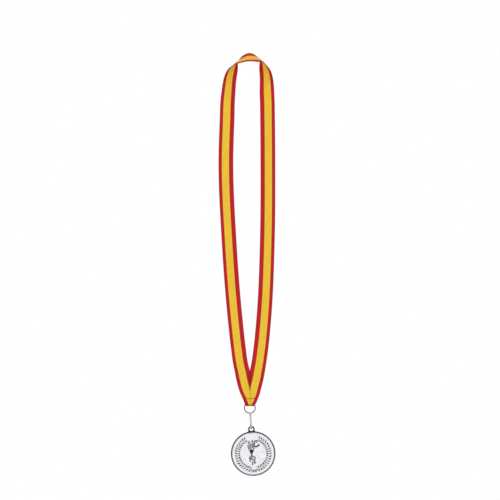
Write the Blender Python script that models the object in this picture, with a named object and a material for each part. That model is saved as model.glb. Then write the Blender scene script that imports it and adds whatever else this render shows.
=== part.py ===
"""Finisher's medal hanging from a striped neck ribbon: one band sewn into a loop, its two
threads of cross stitch, the thread of its mitre seam, a jump ring, a split ring and the medal.

Metres in Blender; the sizes below are millimetres. +Z is up, the front faces -Y, and the
origin is at the top of the loop, where a hand, a neck or a peg holds it.
"""

import math

import bpy
import numpy as np
from mathutils import Vector

MM = 0.001

# Ribbon
BAND_WIDTH = 16.0
BAND_THICK = 0.5
FRONT_Y = -5.32  # middle of the front layer in the sewn tip
HANG_Y = -5.0  # plane in which the rings and the medal hang
NOTCH_Z = -350.4  # where the two strands meet
FOLD_Z = -391.7  # lowest point of the folded tip
STITCH_UP = 8.4  # cross stitch above the fold
TAIL_UP = 15.0  # end of the turned-up tail above the fold
FOLD_RADIUS = 0.9  # middle of the band round the ring's wire
POCKET_HALF = 1.8  # half depth of the fold's pocket at its widest
POCKET_UP = 4.7
SEAM_RIDGE = 0.4  # seam allowance turned to the back

# Rings
RING_RADIUS, RING_WIRE = 6.1, 0.55
RING_Z = FOLD_Z - 2.1
RING_HINGE_UP = 3.25
RING_GAP_DEG = 1.5
COIL_OUTER, COIL_RADIAL, COIL_AXIAL, COIL_GAP = 10.0, 1.4, 1.1, 0.1
COIL_Z = RING_Z - 13.93
CROSSOVER_DEG = 25.0
LEAN_DEG = 4.2  # the split ring and the medal lean to the right round the jump ring

# Medal
DISC_RADIUS, DISC_THICK = 25.0, 3.0
RIM_WIDTH, FRONT_RECESS, BACK_RECESS = 1.3, 0.6, 0.4
BACK_RADIUS = 19.0
HOLE_Z = COIL_Z - 10.2
HOLE_UP = 27.5  # hole above the middle of the disc
LUG_RADIUS, HOLE_RADIUS, LUG_THICK = 3.7, 2.1, 2.2
LEAF_PAIRS = 14

THREAD = 0.2


def clear_scene():
    for obj in list(bpy.data.objects):
        bpy.data.objects.remove(obj, do_unlink=True)


def material(name, color, metallic, roughness):
    mat = bpy.data.materials.new(name)
    mat.use_nodes = True
    shader = mat.node_tree.nodes["Principled BSDF"]
    shader.inputs["Base Color"].default_value = (*color, 1)
    shader.inputs["Metallic"].default_value = metallic
    shader.inputs["Roughness"].default_value = roughness
    return mat


def add_object(name, points, faces, mat, origin=(0, 0, 0), smooth=True):
    """Makes an object of points in millimetres about its origin, and puts it at that origin."""
    mesh = bpy.data.meshes.new(name)
    mesh.from_pydata([tuple(float(c) * MM for c in p) for p in points], [], [list(map(int, f)) for f in faces])
    mesh.polygons.foreach_set("use_smooth", [smooth] * len(mesh.polygons))
    obj = bpy.data.objects.new(name, mesh)
    obj.location = Vector(origin) * MM
    if mat:
        mesh.materials.append(mat)
    bpy.context.scene.collection.objects.link(obj)
    return obj


def smooth_through(stations, steps):
    """A smooth curve through rows of numbers, spaced by the distance between their first three."""
    rows = np.array(stations, float)
    at = np.r_[0, np.cumsum(np.linalg.norm(np.diff(rows[:, :3], axis=0), axis=1))]
    slope = np.gradient(rows, at, axis=0)
    found = []
    for i in range(len(rows) - 1):
        span = at[i + 1] - at[i]
        for t in np.linspace(0, 1, steps, endpoint=False):
            found.append(
                (2 * t**3 - 3 * t**2 + 1) * rows[i]
                + (t**3 - 2 * t**2 + t) * span * slope[i]
                + (3 * t**2 - 2 * t**3) * rows[i + 1]
                + (t**3 - t**2) * span * slope[i + 1]
            )
    return np.array(found + [rows[-1]])


def unit(v):
    return v / np.linalg.norm(v, axis=-1, keepdims=True)


def ease(t):
    t = np.clip(t, 0, 1)
    return t * t * (3 - 2 * t)


def leaned(points, about=(0, 0, 0)):
    """Points turned about Y through a place, so that what hangs moves to the right."""
    p = np.array(points, float) - about
    c, s = math.cos(math.radians(LEAN_DEG)), math.sin(math.radians(LEAN_DEG))
    turned = np.stack([p[..., 0] * c - p[..., 2] * s, p[..., 1], p[..., 0] * s + p[..., 2] * c], axis=-1)
    return turned + about


# Ribbon ---------------------------------------------------------------------------------

ACROSS = 8  # columns over the band's width


def strand_rows():
    """The band from the notch up the left, over the top and down the right: a row of points
    across it at each place, from its outer edge to its inner edge. Each station is the band's
    middle (x, y, z), then the turn of its width from +X towards +Y and that width's rise, in
    degrees."""
    stations = [
        (-8.2, FRONT_Y, NOTCH_Z - 1.2, 0, 9),
        (-10.6, FRONT_Y, NOTCH_Z + 8.5, 0, 8),
        (-12.7, FRONT_Y, NOTCH_Z + 23, 0, 7),
        (-16.4, FRONT_Y, -295, 0, 6),
        (-23.4, -5.3, -205, 0, 3),
        (-26.9, -4.5, -116, 0, 0),
        (-25.6, -0.5, -70, 3, 0),
        (-24.5, 2.5, -43, 16, -8),
        (-19.0, 4.5, -14.5, 50, -6),
        (-13.5, 2.5, -4.6, 74, 20),
        (0, 0, 0.4, 92, 30),
        (12.5, 2.5, -4.6, 112, 18),
        (16.5, 4.5, -13.6, 134, -6),
        (19.5, 2.0, -44, 177, 0),
        (20.0, -0.5, -70, 180, 0),
        (20.3, -4.5, -116, 180, 0),
        (19.7, -5.3, -205, 180, 2),
        (15.6, FRONT_Y, -295, 180, 5),
        (12.3, FRONT_Y, NOTCH_Z + 23, 180, 7),
        (10.3, FRONT_Y, NOTCH_Z + 8.5, 180, 8),
        (8.2, FRONT_Y, NOTCH_Z - 1.2, 180, 9),
    ]
    path = smooth_through(stations, 7)
    middle, turn, rise = path[:, :3], np.radians(path[:, 3]), np.radians(path[:, 4])
    along = unit(np.gradient(middle, axis=0))
    wide = np.c_[np.cos(turn) * np.cos(rise), np.sin(turn) * np.cos(rise), np.sin(rise)]
    wide = unit(wide - (wide * along).sum(1)[:, None] * along)
    offsets = (np.linspace(-0.5, 0.5, ACROSS + 1) * BAND_WIDTH)[None, :, None]
    return middle[:, None, :] + wide[:, None, :] * offsets


def tip_half_width(up):
    """Half the width of the sewn tip at a height above the fold."""
    heights = [0, 1.2, 3.3, 6.6, 10.0, 13.3, 20.0, 27.0, 33.5, 39.0]
    halves = [4.65, 5.2, 6.1, 7.4, 8.8, 10.2, 12.4, 14.2, 15.6, 16.4]
    return np.interp(up, heights, halves)


def tip_rows():
    """The sewn tip from the notch down the front, round the fold and up the back: rows of
    points from the left edge over the seam to the right edge."""
    front = FRONT_Y - HANG_Y
    bottom = FOLD_RADIUS + BAND_THICK / 2
    notch_up = NOTCH_Z - FOLD_Z
    profile = [(front, up) for up in np.linspace(notch_up, STITCH_UP - 0.4, 17)]
    bulge = STITCH_UP - 0.4 - POCKET_UP
    for t in (0.25, 0.5, 0.75, 1.0):
        profile.append((front - (POCKET_HALF + front) * ease(t), STITCH_UP - 0.4 - bulge * t))
    for t in (0.25, 0.5, 0.75):
        profile.append((-POCKET_HALF + (POCKET_HALF - FOLD_RADIUS) * t, POCKET_UP + (bottom - POCKET_UP) * t))
    for angle in np.radians(np.linspace(0, 90, 7)):
        profile.append((-FOLD_RADIUS * math.cos(angle), bottom - FOLD_RADIUS * math.sin(angle)))
    back = [(-y, up) for y, up in profile[::-1][1:] if up <= TAIL_UP] + [(-front, TAIL_UP)]
    rows = []
    for y, up in profile + back:
        # at the notch the rows follow the strands, and lower down they lie level
        drop = 2.4 * (up / notch_up) ** 3 if (y, up) in profile else 0
        half = tip_half_width(up - drop)
        inward = 0.3 if y > 0 and up > bottom else 0
        x = np.linspace(-1, 1, 2 * ACROSS + 1) * (half - inward)
        z = FOLD_Z + up - drop * np.abs(np.linspace(-1, 1, 2 * ACROSS + 1))
        rows.append(np.c_[x, np.full_like(x, HANG_Y + y), z])
    return np.array(rows)


def sheet_normals(points, faces):
    normals = np.zeros_like(points)
    for corner in range(4):
        a, b, c = (points[faces[:, (corner + k) % 4]] for k in (0, 1, 3))
        np.add.at(normals, faces[:, corner], np.cross(b - a, c - a))
    return unit(normals)


def ribbon_sheet():
    """The whole band as one sheet: points, and quads that face away from the wearer's side."""
    strands, tip = strand_rows(), tip_rows()
    strands[0], strands[-1] = tip[0, : ACROSS + 1], tip[0, : ACROSS - 1 : -1]
    points = [p for row in tip for p in row]
    wide = 2 * ACROSS + 1
    quads = []
    for r in range(len(tip) - 1):
        for c in range(wide - 1):
            a = r * wide + c
            quads.append((a, a + wide, a + wide + 1, a + 1))
    ids = [[c for c in range(ACROSS + 1)]]
    for row in strands[1:-1]:
        ids.append(list(range(len(points), len(points) + ACROSS + 1)))
        points.extend(row)
    ids.append([2 * ACROSS - c for c in range(ACROSS + 1)])
    for low, high in zip(ids, ids[1:]):
        for c in range(ACROSS):
            quads.append((low[c], low[c + 1], high[c + 1], high[c]))
    return np.array(points), np.array(quads)


def thicken(points, quads, front, back):
    """A closed solid from a sheet: its points pushed out by front and back along the normals."""
    normals = sheet_normals(points, quads)
    solid = np.concatenate([points + normals * front[:, None], points - normals * back[:, None]])
    n = len(points)
    faces = [tuple(q) for q in quads] + [tuple(int(i) + n for i in q[::-1]) for q in quads]
    edges = {}
    for q in quads:
        for a, b in zip(q, np.roll(q, -1)):
            edges[(int(a), int(b))] = edges.get((int(a), int(b)), 0) + 1
    for a, b in list(edges):
        if (b, a) not in edges:
            faces.append((b, a, a + n, b + n))
    return solid, faces


def build_ribbon(mat):
    points, quads = ribbon_sheet()
    half = np.full(len(points), BAND_THICK / 2)
    up = points[:, 2] - FOLD_Z
    in_seam = (np.abs(points[:, 1] - FRONT_Y) < 0.01) & (up < NOTCH_Z - FOLD_Z)
    ridge = (1 - ease(np.abs(points[:, 0]) / 3.4)) * ease((up - TAIL_UP - 0.6) / 2.0)
    ridge *= ease((NOTCH_Z - FOLD_Z + 0.1 - up) / 4.0)
    back = half + np.where(in_seam, SEAM_RIDGE * ridge, 0)
    solid, faces = thicken(points, quads, half, back)
    return add_object("ribbon", solid, faces, mat)


# Swept pieces ----------------------------------------------------------------------------


def swept(rings):
    """Points and faces of a closed solid from a list of cross sections of equal length."""
    rings = np.array(rings)
    count, around = rings.shape[:2]
    points = list(rings.reshape(-1, 3)) + [rings[0].mean(0), rings[-1].mean(0)]
    faces = []
    for i in range(count - 1):
        for j in range(around):
            k = (j + 1) % around
            faces.append((i * around + j, i * around + k, (i + 1) * around + k, (i + 1) * around + j))
    for j in range(around):
        k = (j + 1) % around
        faces.append((len(points) - 2, k, j))
        faces.append((len(points) - 1, (count - 1) * around + j, (count - 1) * around + k))
    return points, faces


def facing_out(points, faces):
    volume = 0.0
    for f in faces:
        for i in range(1, len(f) - 1):
            volume += np.dot(points[f[0]], np.cross(points[f[i]], points[f[i + 1]]))
    return faces if volume > 0 else [f[::-1] for f in faces]


def build_thread(name, path, mat):
    path = np.array(path)
    along = unit(np.gradient(path, axis=0))
    side = unit(np.cross(along, np.array([0.0, 1.0, 0.0])))
    out = np.cross(along, side)
    rings = []
    for p, s, o in zip(path, side, out):
        angles = np.radians(np.arange(0, 360, 60))
        rings.append([p + THREAD * (math.cos(a) * s + math.sin(a) * o) for a in angles])
    points, faces = swept(rings)
    return add_object(name, points, facing_out(points, faces), mat)


def build_threads(mat):
    """Needle thread in front and bobbin thread behind the cross stitch, and the mitre's thread."""
    for name, side in (("cross_stitch_needle_thread", -1), ("cross_stitch_bobbin_thread", 1)):
        face = HANG_Y + side * (HANG_Y - FRONT_Y + BAND_THICK / 2 + THREAD + 0.03)
        path = []
        for x in np.linspace(-5.2, 5.2, 53):
            rise = 0.13 * abs(math.sin(math.pi * x / 1.7))
            path.append((x, face + side * rise, FOLD_Z + STITCH_UP - 0.25 * math.cos(x * 0.3)))
        build_thread(name, path, mat)
    face = FRONT_Y + BAND_THICK / 2 + SEAM_RIDGE + THREAD + 0.03
    path = []
    for z in np.linspace(NOTCH_Z - 2.5, FOLD_Z + TAIL_UP + 1.5, 71):
        path.append((0.25 * math.sin(math.pi * z / 1.5), face + 0.05 * abs(math.cos(math.pi * z / 1.5)), z))
    build_thread("mitre_seam_thread", path, mat)


def build_ribbon_ring(mat):
    """Jump ring of round wire, its butted cut hidden in the ribbon's fold."""
    rings = []
    for a in np.radians(np.linspace(90 + RING_GAP_DEG, 450 - RING_GAP_DEG, 73)):
        section = []
        for b in np.radians(np.arange(0, 360, 30)):
            reach = RING_RADIUS + RING_WIRE * math.cos(b)
            section.append((reach * math.cos(a), RING_WIRE * math.sin(b), reach * math.sin(a) - RING_HINGE_UP))
        rings.append(section)
    points, faces = swept(rings)
    origin = (0, HANG_Y, RING_Z + RING_HINGE_UP)
    return add_object("ribbon_ring", points, facing_out(points, faces), mat, origin)


def build_split_ring(mat):
    """Split ring: flat wire in two touching coils, stepping from one coil to the other."""
    middle = COIL_OUTER - COIL_RADIAL / 2
    lane = (COIL_AXIAL + COIL_GAP) / 2
    r, a, c = COIL_RADIAL / 2, COIL_AXIAL / 2, 0.18
    outline = [(-r + c, -a), (r - c, -a), (r, -a + c), (r, a - c), (r - c, a), (-r + c, a), (-r, a - c), (-r, -a + c)]
    pivot = RING_Z - RING_RADIUS - COIL_Z
    rings = []
    for turn in np.linspace(CROSSOVER_DEG, 720 - CROSSOVER_DEG, 127):
        step = lane * (2 * ease((turn - 360 + CROSSOVER_DEG) / (2 * CROSSOVER_DEG)) - 1)
        angle = math.radians(turn + 192)  # the step faces the front, a little below the middle
        section = []
        for out, side in outline:
            reach = middle + out
            section.append((step + side, reach * math.cos(angle), reach * math.sin(angle) - pivot))
        rings.append(section)
    points, faces = swept(rings)
    origin = leaned((0, HANG_Y, RING_Z - RING_RADIUS), (0, 0, RING_Z))
    return add_object("split_ring", leaned(points), facing_out(points, faces), mat, origin)


# Medal -----------------------------------------------------------------------------------


def medal_point(u, v, out):
    """A point on the medal from right, up and out of its face, about the lug's hole."""
    return (u, -out, v - HOLE_UP)


def turned_disc():
    """Disc turned from its profile: raised rims, sunk fields in front and behind."""
    half, inner = DISC_THICK / 2, DISC_RADIUS - RIM_WIDTH
    profile = [
        (inner - 0.5, half - FRONT_RECESS),
        (inner, half - 0.1),
        (inner + 0.2, half),
        (DISC_RADIUS - 0.35, half),
        (DISC_RADIUS, half - 0.35),
        (DISC_RADIUS, -half + 0.35),
        (DISC_RADIUS - 0.35, -half),
        (BACK_RADIUS + 0.4, -half),
        (BACK_RADIUS, -half + BACK_RECESS),
    ]
    count = 96
    points, faces = [], []
    for i in range(count):
        angle = 2 * math.pi * i / count
        points += [medal_point(r * math.cos(angle), r * math.sin(angle), h) for r, h in profile]
    n = len(profile)
    front, back = len(points), len(points) + 1
    points += [medal_point(0, 0, half - FRONT_RECESS), medal_point(0, 0, -half + BACK_RECESS)]
    for i in range(count):
        k = (i + 1) % count
        for j in range(n - 1):
            faces.append((i * n + j, i * n + j + 1, k * n + j + 1, k * n + j))
        faces.append((front, i * n, k * n))
        faces.append((back, k * n + n - 1, i * n + n - 1))
    return points, facing_out(np.array(points), faces)


def prism(outline, low, high, inset=0.0, crown=None):
    """A raised shape of the relief from an outline, walls drawn in by inset towards the top."""
    outline = np.array(outline, float)
    middle = outline.mean(0)
    top = middle + (outline - middle) * (1 - inset)
    n = len(outline)
    points = [medal_point(u, v, low) for u, v in outline] + [medal_point(u, v, high) for u, v in top]
    faces = [(i, (i + 1) % n, n + (i + 1) % n, n + i) for i in range(n)] + [tuple(range(n))[::-1]]
    if crown is None:
        faces.append(tuple(range(n, 2 * n)))
    else:
        points.append(medal_point(*middle, crown))
        faces += [(2 * n, n + i, n + (i + 1) % n) for i in range(n)]
    return points, facing_out(np.array(points), faces)


def leaf_outline(root, heading, length, width):
    """A pointed leaf from its root along its heading."""
    along = np.array([math.cos(heading), math.sin(heading)])
    side = np.array([-along[1], along[0]])
    shape = [(0, 0.12), (0.3, 0.46), (0.6, 0.42), (1, 0), (0.6, -0.42), (0.3, -0.46), (0, -0.12)]
    return [np.array(root) + along * length * t + side * width * s for t, s in shape]


def wreath_shapes(field):
    """Two branches of laurel leaves, from the crossed stems at the bottom up to the open top."""
    shapes = []
    for side in (-1, 1):
        for i in range(LEAF_PAIRS):
            angle = math.radians(-90 + side * (12 + i * (150 - 12) / (LEAF_PAIRS - 1)))
            tangent = angle + side * math.pi / 2
            for radius, lean in ((17.9, -0.42), (18.5, 0.36)):
                root = (radius * math.cos(angle), radius * math.sin(angle))
                heading = tangent - side * lean
                outline = leaf_outline(root, heading, 4.3, 1.7)
                shapes.append(prism(outline, field - 0.3, field + 0.2, 0.25, field + 0.45))
        bottom = math.radians(-90 + side * 10)
        tail = math.radians(-90 - side * 7)
        a = np.array([18.2 * math.cos(bottom), 18.2 * math.sin(bottom)])
        b = np.array([19.6 * math.cos(tail), 19.6 * math.sin(tail)])
        across = unit(np.array([-(b - a)[1], (b - a)[0]])) * 0.3
        lift = 0.06 * side
        shapes.append(prism([a - across, b - across, b + across, a + across], field - 0.3, field + 0.3 + lift, 0.1))
    return shapes


def torch_shapes(field):
    """Torch with its flame blown to the right, a ribbon bow tied under the cup."""
    flame = [
        (-4.2, 3.5), (-5.6, 5.6), (-5.9, 8.2), (-4.9, 10.6), (-4.6, 8.4), (-3.4, 9.6), (-3.4, 12.4),
        (-2.0, 14.8), (-1.9, 12.4), (-0.4, 11.6), (1.4, 12.6), (2.2, 14.4), (2.9, 12.0), (4.4, 11.4),
        (6.1, 10.0), (4.3, 9.2), (5.4, 7.4), (3.6, 7.2), (3.0, 5.2), (0.6, 3.5),
    ]
    cup = [(-4.6, 3.9), (-4.3, 2.9), (-3.0, 0.9), (-2.4, -0.9), (-1.2, -0.9), (-0.6, 0.9), (0.6, 2.9), (0.9, 3.9)]
    handle = [(-2.3, -0.5), (-2.0, -6.2), (-1.4, -6.2), (-1.2, -0.5)]
    left_loop = [(-1.7, -4.2), (-3.2, -3.2), (-4.7, -3.9), (-4.4, -5.6), (-2.8, -5.9), (-1.7, -4.9)]
    right_loop = [(-1.6, -4.2), (-0.2, -3.4), (1.6, -3.7), (1.9, -5.0), (0.4, -5.9), (-1.6, -4.9)]
    left_tail = [(-2.0, -4.8), (-3.9, -8.2), (-4.4, -10.2), (-3.0, -9.4), (-1.5, -5.2)]
    mid_tail = [(-1.9, -5.6), (-1.5, -9.4), (-1.9, -12.3), (-0.4, -11.4), (-0.6, -9.2), (-1.3, -5.6)]
    right_tail = [(-1.5, -5.0), (0.8, -8.0), (2.4, -10.3), (2.5, -8.2), (1.4, -6.8), (-1.0, -4.8)]
    shapes = [prism(flame, field - 0.3, field + 0.31, 0.04)]
    heights = (0.44, 0.27, 0.35, 0.39, 0.22, 0.18, 0.25)
    for outline, height in zip((cup, handle, left_loop, right_loop, left_tail, mid_tail, right_tail), heights):
        shapes.append(prism(outline, field - 0.3, field + height, 0.08))
    return shapes


def lug_shape():
    """Lug: a round boss whose foot widens into the disc's edge."""
    outline = []
    for angle in np.radians(np.arange(-20, 201, 10)):
        outline.append((LUG_RADIUS * math.cos(angle), HOLE_UP + LUG_RADIUS * math.sin(angle)))
    outline += [(-3.9, HOLE_UP - 2.3), (-5.2, HOLE_UP - 3.2), (-5.2, HOLE_UP - 5.0)]
    outline += [(5.2, HOLE_UP - 5.0), (5.2, HOLE_UP - 3.2), (3.9, HOLE_UP - 2.3)]
    return prism(outline, -LUG_THICK / 2, LUG_THICK / 2)


def cutter_hole():
    outline = [
        (HOLE_RADIUS * math.cos(a), HOLE_UP + HOLE_RADIUS * math.sin(a)) for a in np.radians(np.arange(0, 360, 10))
    ]
    return prism(outline, -3, 3)


def join_in(target, shape, name, operation):
    """Adds or cuts one closed shape with a Boolean modifier."""
    points, faces = shape
    helper = add_object(name, leaned(points), faces, None, target.location / MM)
    helper.hide_render = True
    helper.display_type = "WIRE"
    modifier = target.modifiers.new(name, "BOOLEAN")
    modifier.operation = operation
    modifier.solver = "EXACT"
    modifier.object = helper


def build_medal(mat):
    origin = leaned((0, HANG_Y, HOLE_Z), (0, 0, RING_Z))
    points, faces = turned_disc()
    medal = add_object("medal", leaned(points), faces, mat, origin, smooth=False)
    field = DISC_THICK / 2 - FRONT_RECESS
    join_in(medal, lug_shape(), "shape_lug", "UNION")
    join_in(medal, cutter_hole(), "shape_hole", "DIFFERENCE")
    for i, shape in enumerate(torch_shapes(field) + wreath_shapes(field)):
        join_in(medal, shape, f"shape_relief_{i:02d}", "UNION")
    return medal


def main():
    clear_scene()
    cloth = material("woven_ribbon", (0.72, 0.06, 0.05), 0.0, 0.75)
    thread = material("sewing_thread", (0.72, 0.42, 0.03), 0.0, 0.8)
    wire = material("ring_wire", (0.62, 0.62, 0.63), 1.0, 0.25)
    silver = material("medal_silver", (0.6, 0.6, 0.61), 1.0, 0.35)
    build_ribbon(cloth)
    build_threads(thread)
    build_ribbon_ring(wire)
    build_split_ring(wire)
    build_medal(silver)


main()
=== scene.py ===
"""Finisher's medal on a striped neck ribbon: the looks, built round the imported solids.

The band of cloth, its stitches, the two rings and the struck medal are each made by a class
that holds its sizes in millimetres. +Z is up, the front faces -Y and the top of the ribbon's
loop is at the origin.
"""

import logging
import math
from dataclasses import dataclass, field
from enum import Enum
from typing import Any, Sequence

import bpy
import numpy as np
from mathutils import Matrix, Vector


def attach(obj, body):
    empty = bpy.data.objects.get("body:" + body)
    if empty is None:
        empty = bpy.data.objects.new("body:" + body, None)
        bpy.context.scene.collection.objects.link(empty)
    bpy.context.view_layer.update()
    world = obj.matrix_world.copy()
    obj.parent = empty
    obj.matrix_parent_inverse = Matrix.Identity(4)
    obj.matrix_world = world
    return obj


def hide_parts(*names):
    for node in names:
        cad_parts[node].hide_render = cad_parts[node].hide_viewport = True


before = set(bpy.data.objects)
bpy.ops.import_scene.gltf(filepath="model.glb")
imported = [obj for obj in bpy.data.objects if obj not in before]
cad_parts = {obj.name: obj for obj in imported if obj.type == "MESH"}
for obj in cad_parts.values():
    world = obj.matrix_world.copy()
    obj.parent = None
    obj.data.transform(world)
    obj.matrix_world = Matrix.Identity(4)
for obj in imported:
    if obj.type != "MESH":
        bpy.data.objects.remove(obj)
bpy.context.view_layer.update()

MM = 0.001
Array = np.ndarray
Socket = bpy.types.NodeSocket
log = logging.getLogger("finisher_medal")

# Places that several pieces share, in millimetres
HANG_Y = -5.0  # plane in which the rings and the medal hang
FRONT_Y = -5.32  # middle of the front layer in the sewn tip
NOTCH_Z = -352.0  # where the two strands meet
FOLD_Z = -391.7  # bottom of the folded tip, before its sag
RING_Z = FOLD_Z - 2.1  # middle of the jump ring
COIL_Z = RING_Z - 13.93  # middle of the split ring, before the lean
HOLE_Z = COIL_Z - 10.2  # middle of the lug's hole, before the lean
CRISP_DEG = 50.0  # an edge on metal whose faces meet at more than this stays crisp
LEAN_DEG = 4.2  # the split ring and the medal lean to the right round the jump ring
STITCH_UP = 8.4  # ends of the cross stitch above the fold
STITCH_SAG = 0.25  # its middle lies this much lower
STITCH_LENGTH = 1.7


# Shapes as arrays ------------------------------------------------------------------------


def ease(t: Array | float) -> Array:
    """Smooth step, 3t^2 - 2t^3 of t held between 0 and 1."""
    t = np.clip(t, 0.0, 1.0)
    return t * t * (3.0 - 2.0 * t)


def bell(distance: Array, width: float) -> Array:
    """Bell curve, e to the power of minus (distance / width) squared."""
    return np.exp(-((distance / width) ** 2))


def unit(vectors: Array) -> Array:
    """Each vector divided by its length."""
    return vectors / np.linalg.norm(vectors, axis=-1, keepdims=True)


def leaned(points: Array) -> Array:
    """Points turned about Y through the jump ring's middle, x cos - z sin and x sin + z cos.

    Args:
        points: rows of x, y, z.

    Returns:
        The same rows, turned.
    """
    c, s = math.cos(math.radians(LEAN_DEG)), math.sin(math.radians(LEAN_DEG))
    x, y, z = points[..., 0], points[..., 1], points[..., 2] - RING_Z
    return np.stack([x * c - z * s, y, RING_Z + x * s + z * c], axis=-1)


def tip_lean(height: Array | float) -> Array:
    """How far the sewn tip leans to the right at a height above the fold.

    It is 0.15 mm at the fold, rises by a smooth step to 0.6 mm at 5 mm up, and falls by another
    to nothing at 21 mm.
    """
    return (0.15 + 0.45 * ease(height / 5.0)) * (1 - ease((height - 9.0) / 12.0))


def stitch_height(x: Array) -> Array:
    """Height of the cross stitch above the fold, its sag times a slow cosine of the place across."""
    return STITCH_UP - STITCH_SAG * np.cos(0.3 * x)


def hermite(knots: Array, values: Array, at: Array) -> Array:
    """A smooth curve through known values, a cubic in each span.

    The value is h00*y0 + h10*span*m0 + h01*y1 + h11*span*m1, with the slopes m taken as
    central differences of the known values.

    Args:
        knots: rising places of the known values.
        values: one value or one row of values for each knot.
        at: places to work the curve out at.

    Returns:
        The curve's value or row at each place.
    """
    slope = np.gradient(values, knots, axis=0)
    i = np.clip(np.searchsorted(knots, at, side="right") - 1, 0, len(knots) - 2)
    span = knots[i + 1] - knots[i]
    t = (at - knots[i]) / span
    if values.ndim > 1:
        span, t = span[:, None], t[:, None]
    return (
        (2 * t**3 - 3 * t**2 + 1) * values[i]
        + (t**3 - 2 * t**2 + t) * span * slope[i]
        + (3 * t**2 - 2 * t**3) * values[i + 1]
        + (t**3 - t**2) * span * slope[i + 1]
    )


def lengths_along(points: Array) -> Array:
    """Distance from the first point to each point, measured along the line through them."""
    return np.r_[0.0, np.cumsum(np.linalg.norm(np.diff(points, axis=0), axis=1))]


def evenly(points: Array, count: int, measure: int = 3) -> Array:
    """Rows spread evenly along a line of points.

    Args:
        points: rows whose first numbers are the place.
        count: how many rows to give.
        measure: how many of the first numbers are the place.

    Returns:
        The rows at equal distances along the line, by linear steps between the given rows.
    """
    at = lengths_along(points[:, :measure])
    wanted = np.linspace(0.0, at[-1], count)
    return np.stack([np.interp(wanted, at, column) for column in points.T], axis=1)


def circle(count: int) -> Array:
    """Angles spread evenly round a full turn, in radians."""
    return np.linspace(0, 2 * math.pi, count, endpoint=False)


def from_ends(count: int) -> Array:
    """Steps from each of a row's places to the nearer end of the row."""
    return np.minimum(np.arange(count), np.arange(count)[::-1])


def grid_quads(rows: int, columns: int, wrap_rows: bool = False, wrap_columns: bool = False) -> Array:
    """Four-sided faces of a grid whose point (r, c) is number r * columns + c.

    Args:
        rows: count of rows.
        columns: count of columns.
        wrap_rows: the last row joins the first.
        wrap_columns: the last column joins the first.

    Returns:
        One row of four point numbers for each face.
    """
    r = np.arange(rows if wrap_rows else rows - 1)[:, None]
    c = np.arange(columns if wrap_columns else columns - 1)[None, :]
    below, right = ((r + 1) % rows) * columns, (c + 1) % columns
    corners = [r * columns + c, r * columns + right, below + right, below + c]
    return np.stack(np.broadcast_arrays(*corners), axis=-1).reshape(-1, 4)


@dataclass
class Shell:
    """A closed surface: points in millimetres, four-sided faces and many-sided caps."""

    points: Array
    quads: Array
    caps: list[Array] = field(default_factory=list)
    corner_uv: Array | None = None

    def sixfold_volume(self) -> float:
        """Six times the enclosed volume, the sum of the triple products of its triangles.

        Returns:
            Cubic millimetres, negative if the faces point inwards.
        """
        p, q = self.points, self.quads
        total = 0.0
        for a, b, c in ((0, 1, 2), (0, 2, 3)):
            total += np.einsum("ij,ij->", p[q[:, a]], np.cross(p[q[:, b]], p[q[:, c]]))
        for cap in self.caps:
            spans = np.cross(p[cap[1:-1]], p[cap[2:]])
            total += np.einsum("ij,ij->", spans, np.broadcast_to(p[cap[0]], spans.shape))
        return float(total)

    def faced_out(self) -> "Shell":
        """The same surface with its faces pointing outwards.

        Returns:
            This shell, or one with every face turned round.
        """
        if self.sixfold_volume() >= 0:
            return self
        uv = None if self.corner_uv is None else self.corner_uv[:, ::-1]
        return Shell(self.points, self.quads[:, ::-1], [cap[::-1] for cap in self.caps], uv)

    def piece(
        self, name: str, sharp_deg: float = 180.0, masks: dict[str, Array] | None = None
    ) -> bpy.types.Object:
        """Makes a Blender object of the surface.

        Args:
            name: the piece's name.
            sharp_deg: an edge whose faces meet at more than this stays crisp.
            masks: named values, one for each point.

        Returns:
            The new object at the origin, linked to the scene.
        """
        shell = self.faced_out()
        mesh = bpy.data.meshes.new(name)
        loops = np.concatenate([shell.quads.ravel(), *shell.caps]).astype(np.int32)
        sizes = np.r_[np.full(len(shell.quads), 4), [len(cap) for cap in shell.caps]].astype(np.int32)
        mesh.vertices.add(len(shell.points))
        mesh.vertices.foreach_set("co", (shell.points * MM).astype(np.float32).ravel())
        mesh.loops.add(len(loops))
        mesh.loops.foreach_set("vertex_index", loops)
        mesh.polygons.add(len(sizes))
        mesh.polygons.foreach_set("loop_start", np.r_[0, np.cumsum(sizes)[:-1]].astype(np.int32))
        mesh.update(calc_edges=True)
        mesh.validate()
        mesh.polygons.foreach_set("use_smooth", np.ones(len(mesh.polygons), bool))
        mesh.set_sharp_from_angle(angle=math.radians(sharp_deg))
        if shell.corner_uv is not None:
            uv = np.zeros((len(loops), 2), np.float32)
            uv[: shell.quads.size] = shell.corner_uv.reshape(-1, 2)
            mesh.uv_layers.new(name="run").data.foreach_set("uv", uv.ravel())
        for mask, values in (masks or {}).items():
            mesh.attributes.new(mask, "FLOAT", "POINT").data.foreach_set("value", values.astype(np.float32))
        obj = bpy.data.objects.new(name, mesh)
        bpy.context.scene.collection.objects.link(obj)
        return obj


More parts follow.
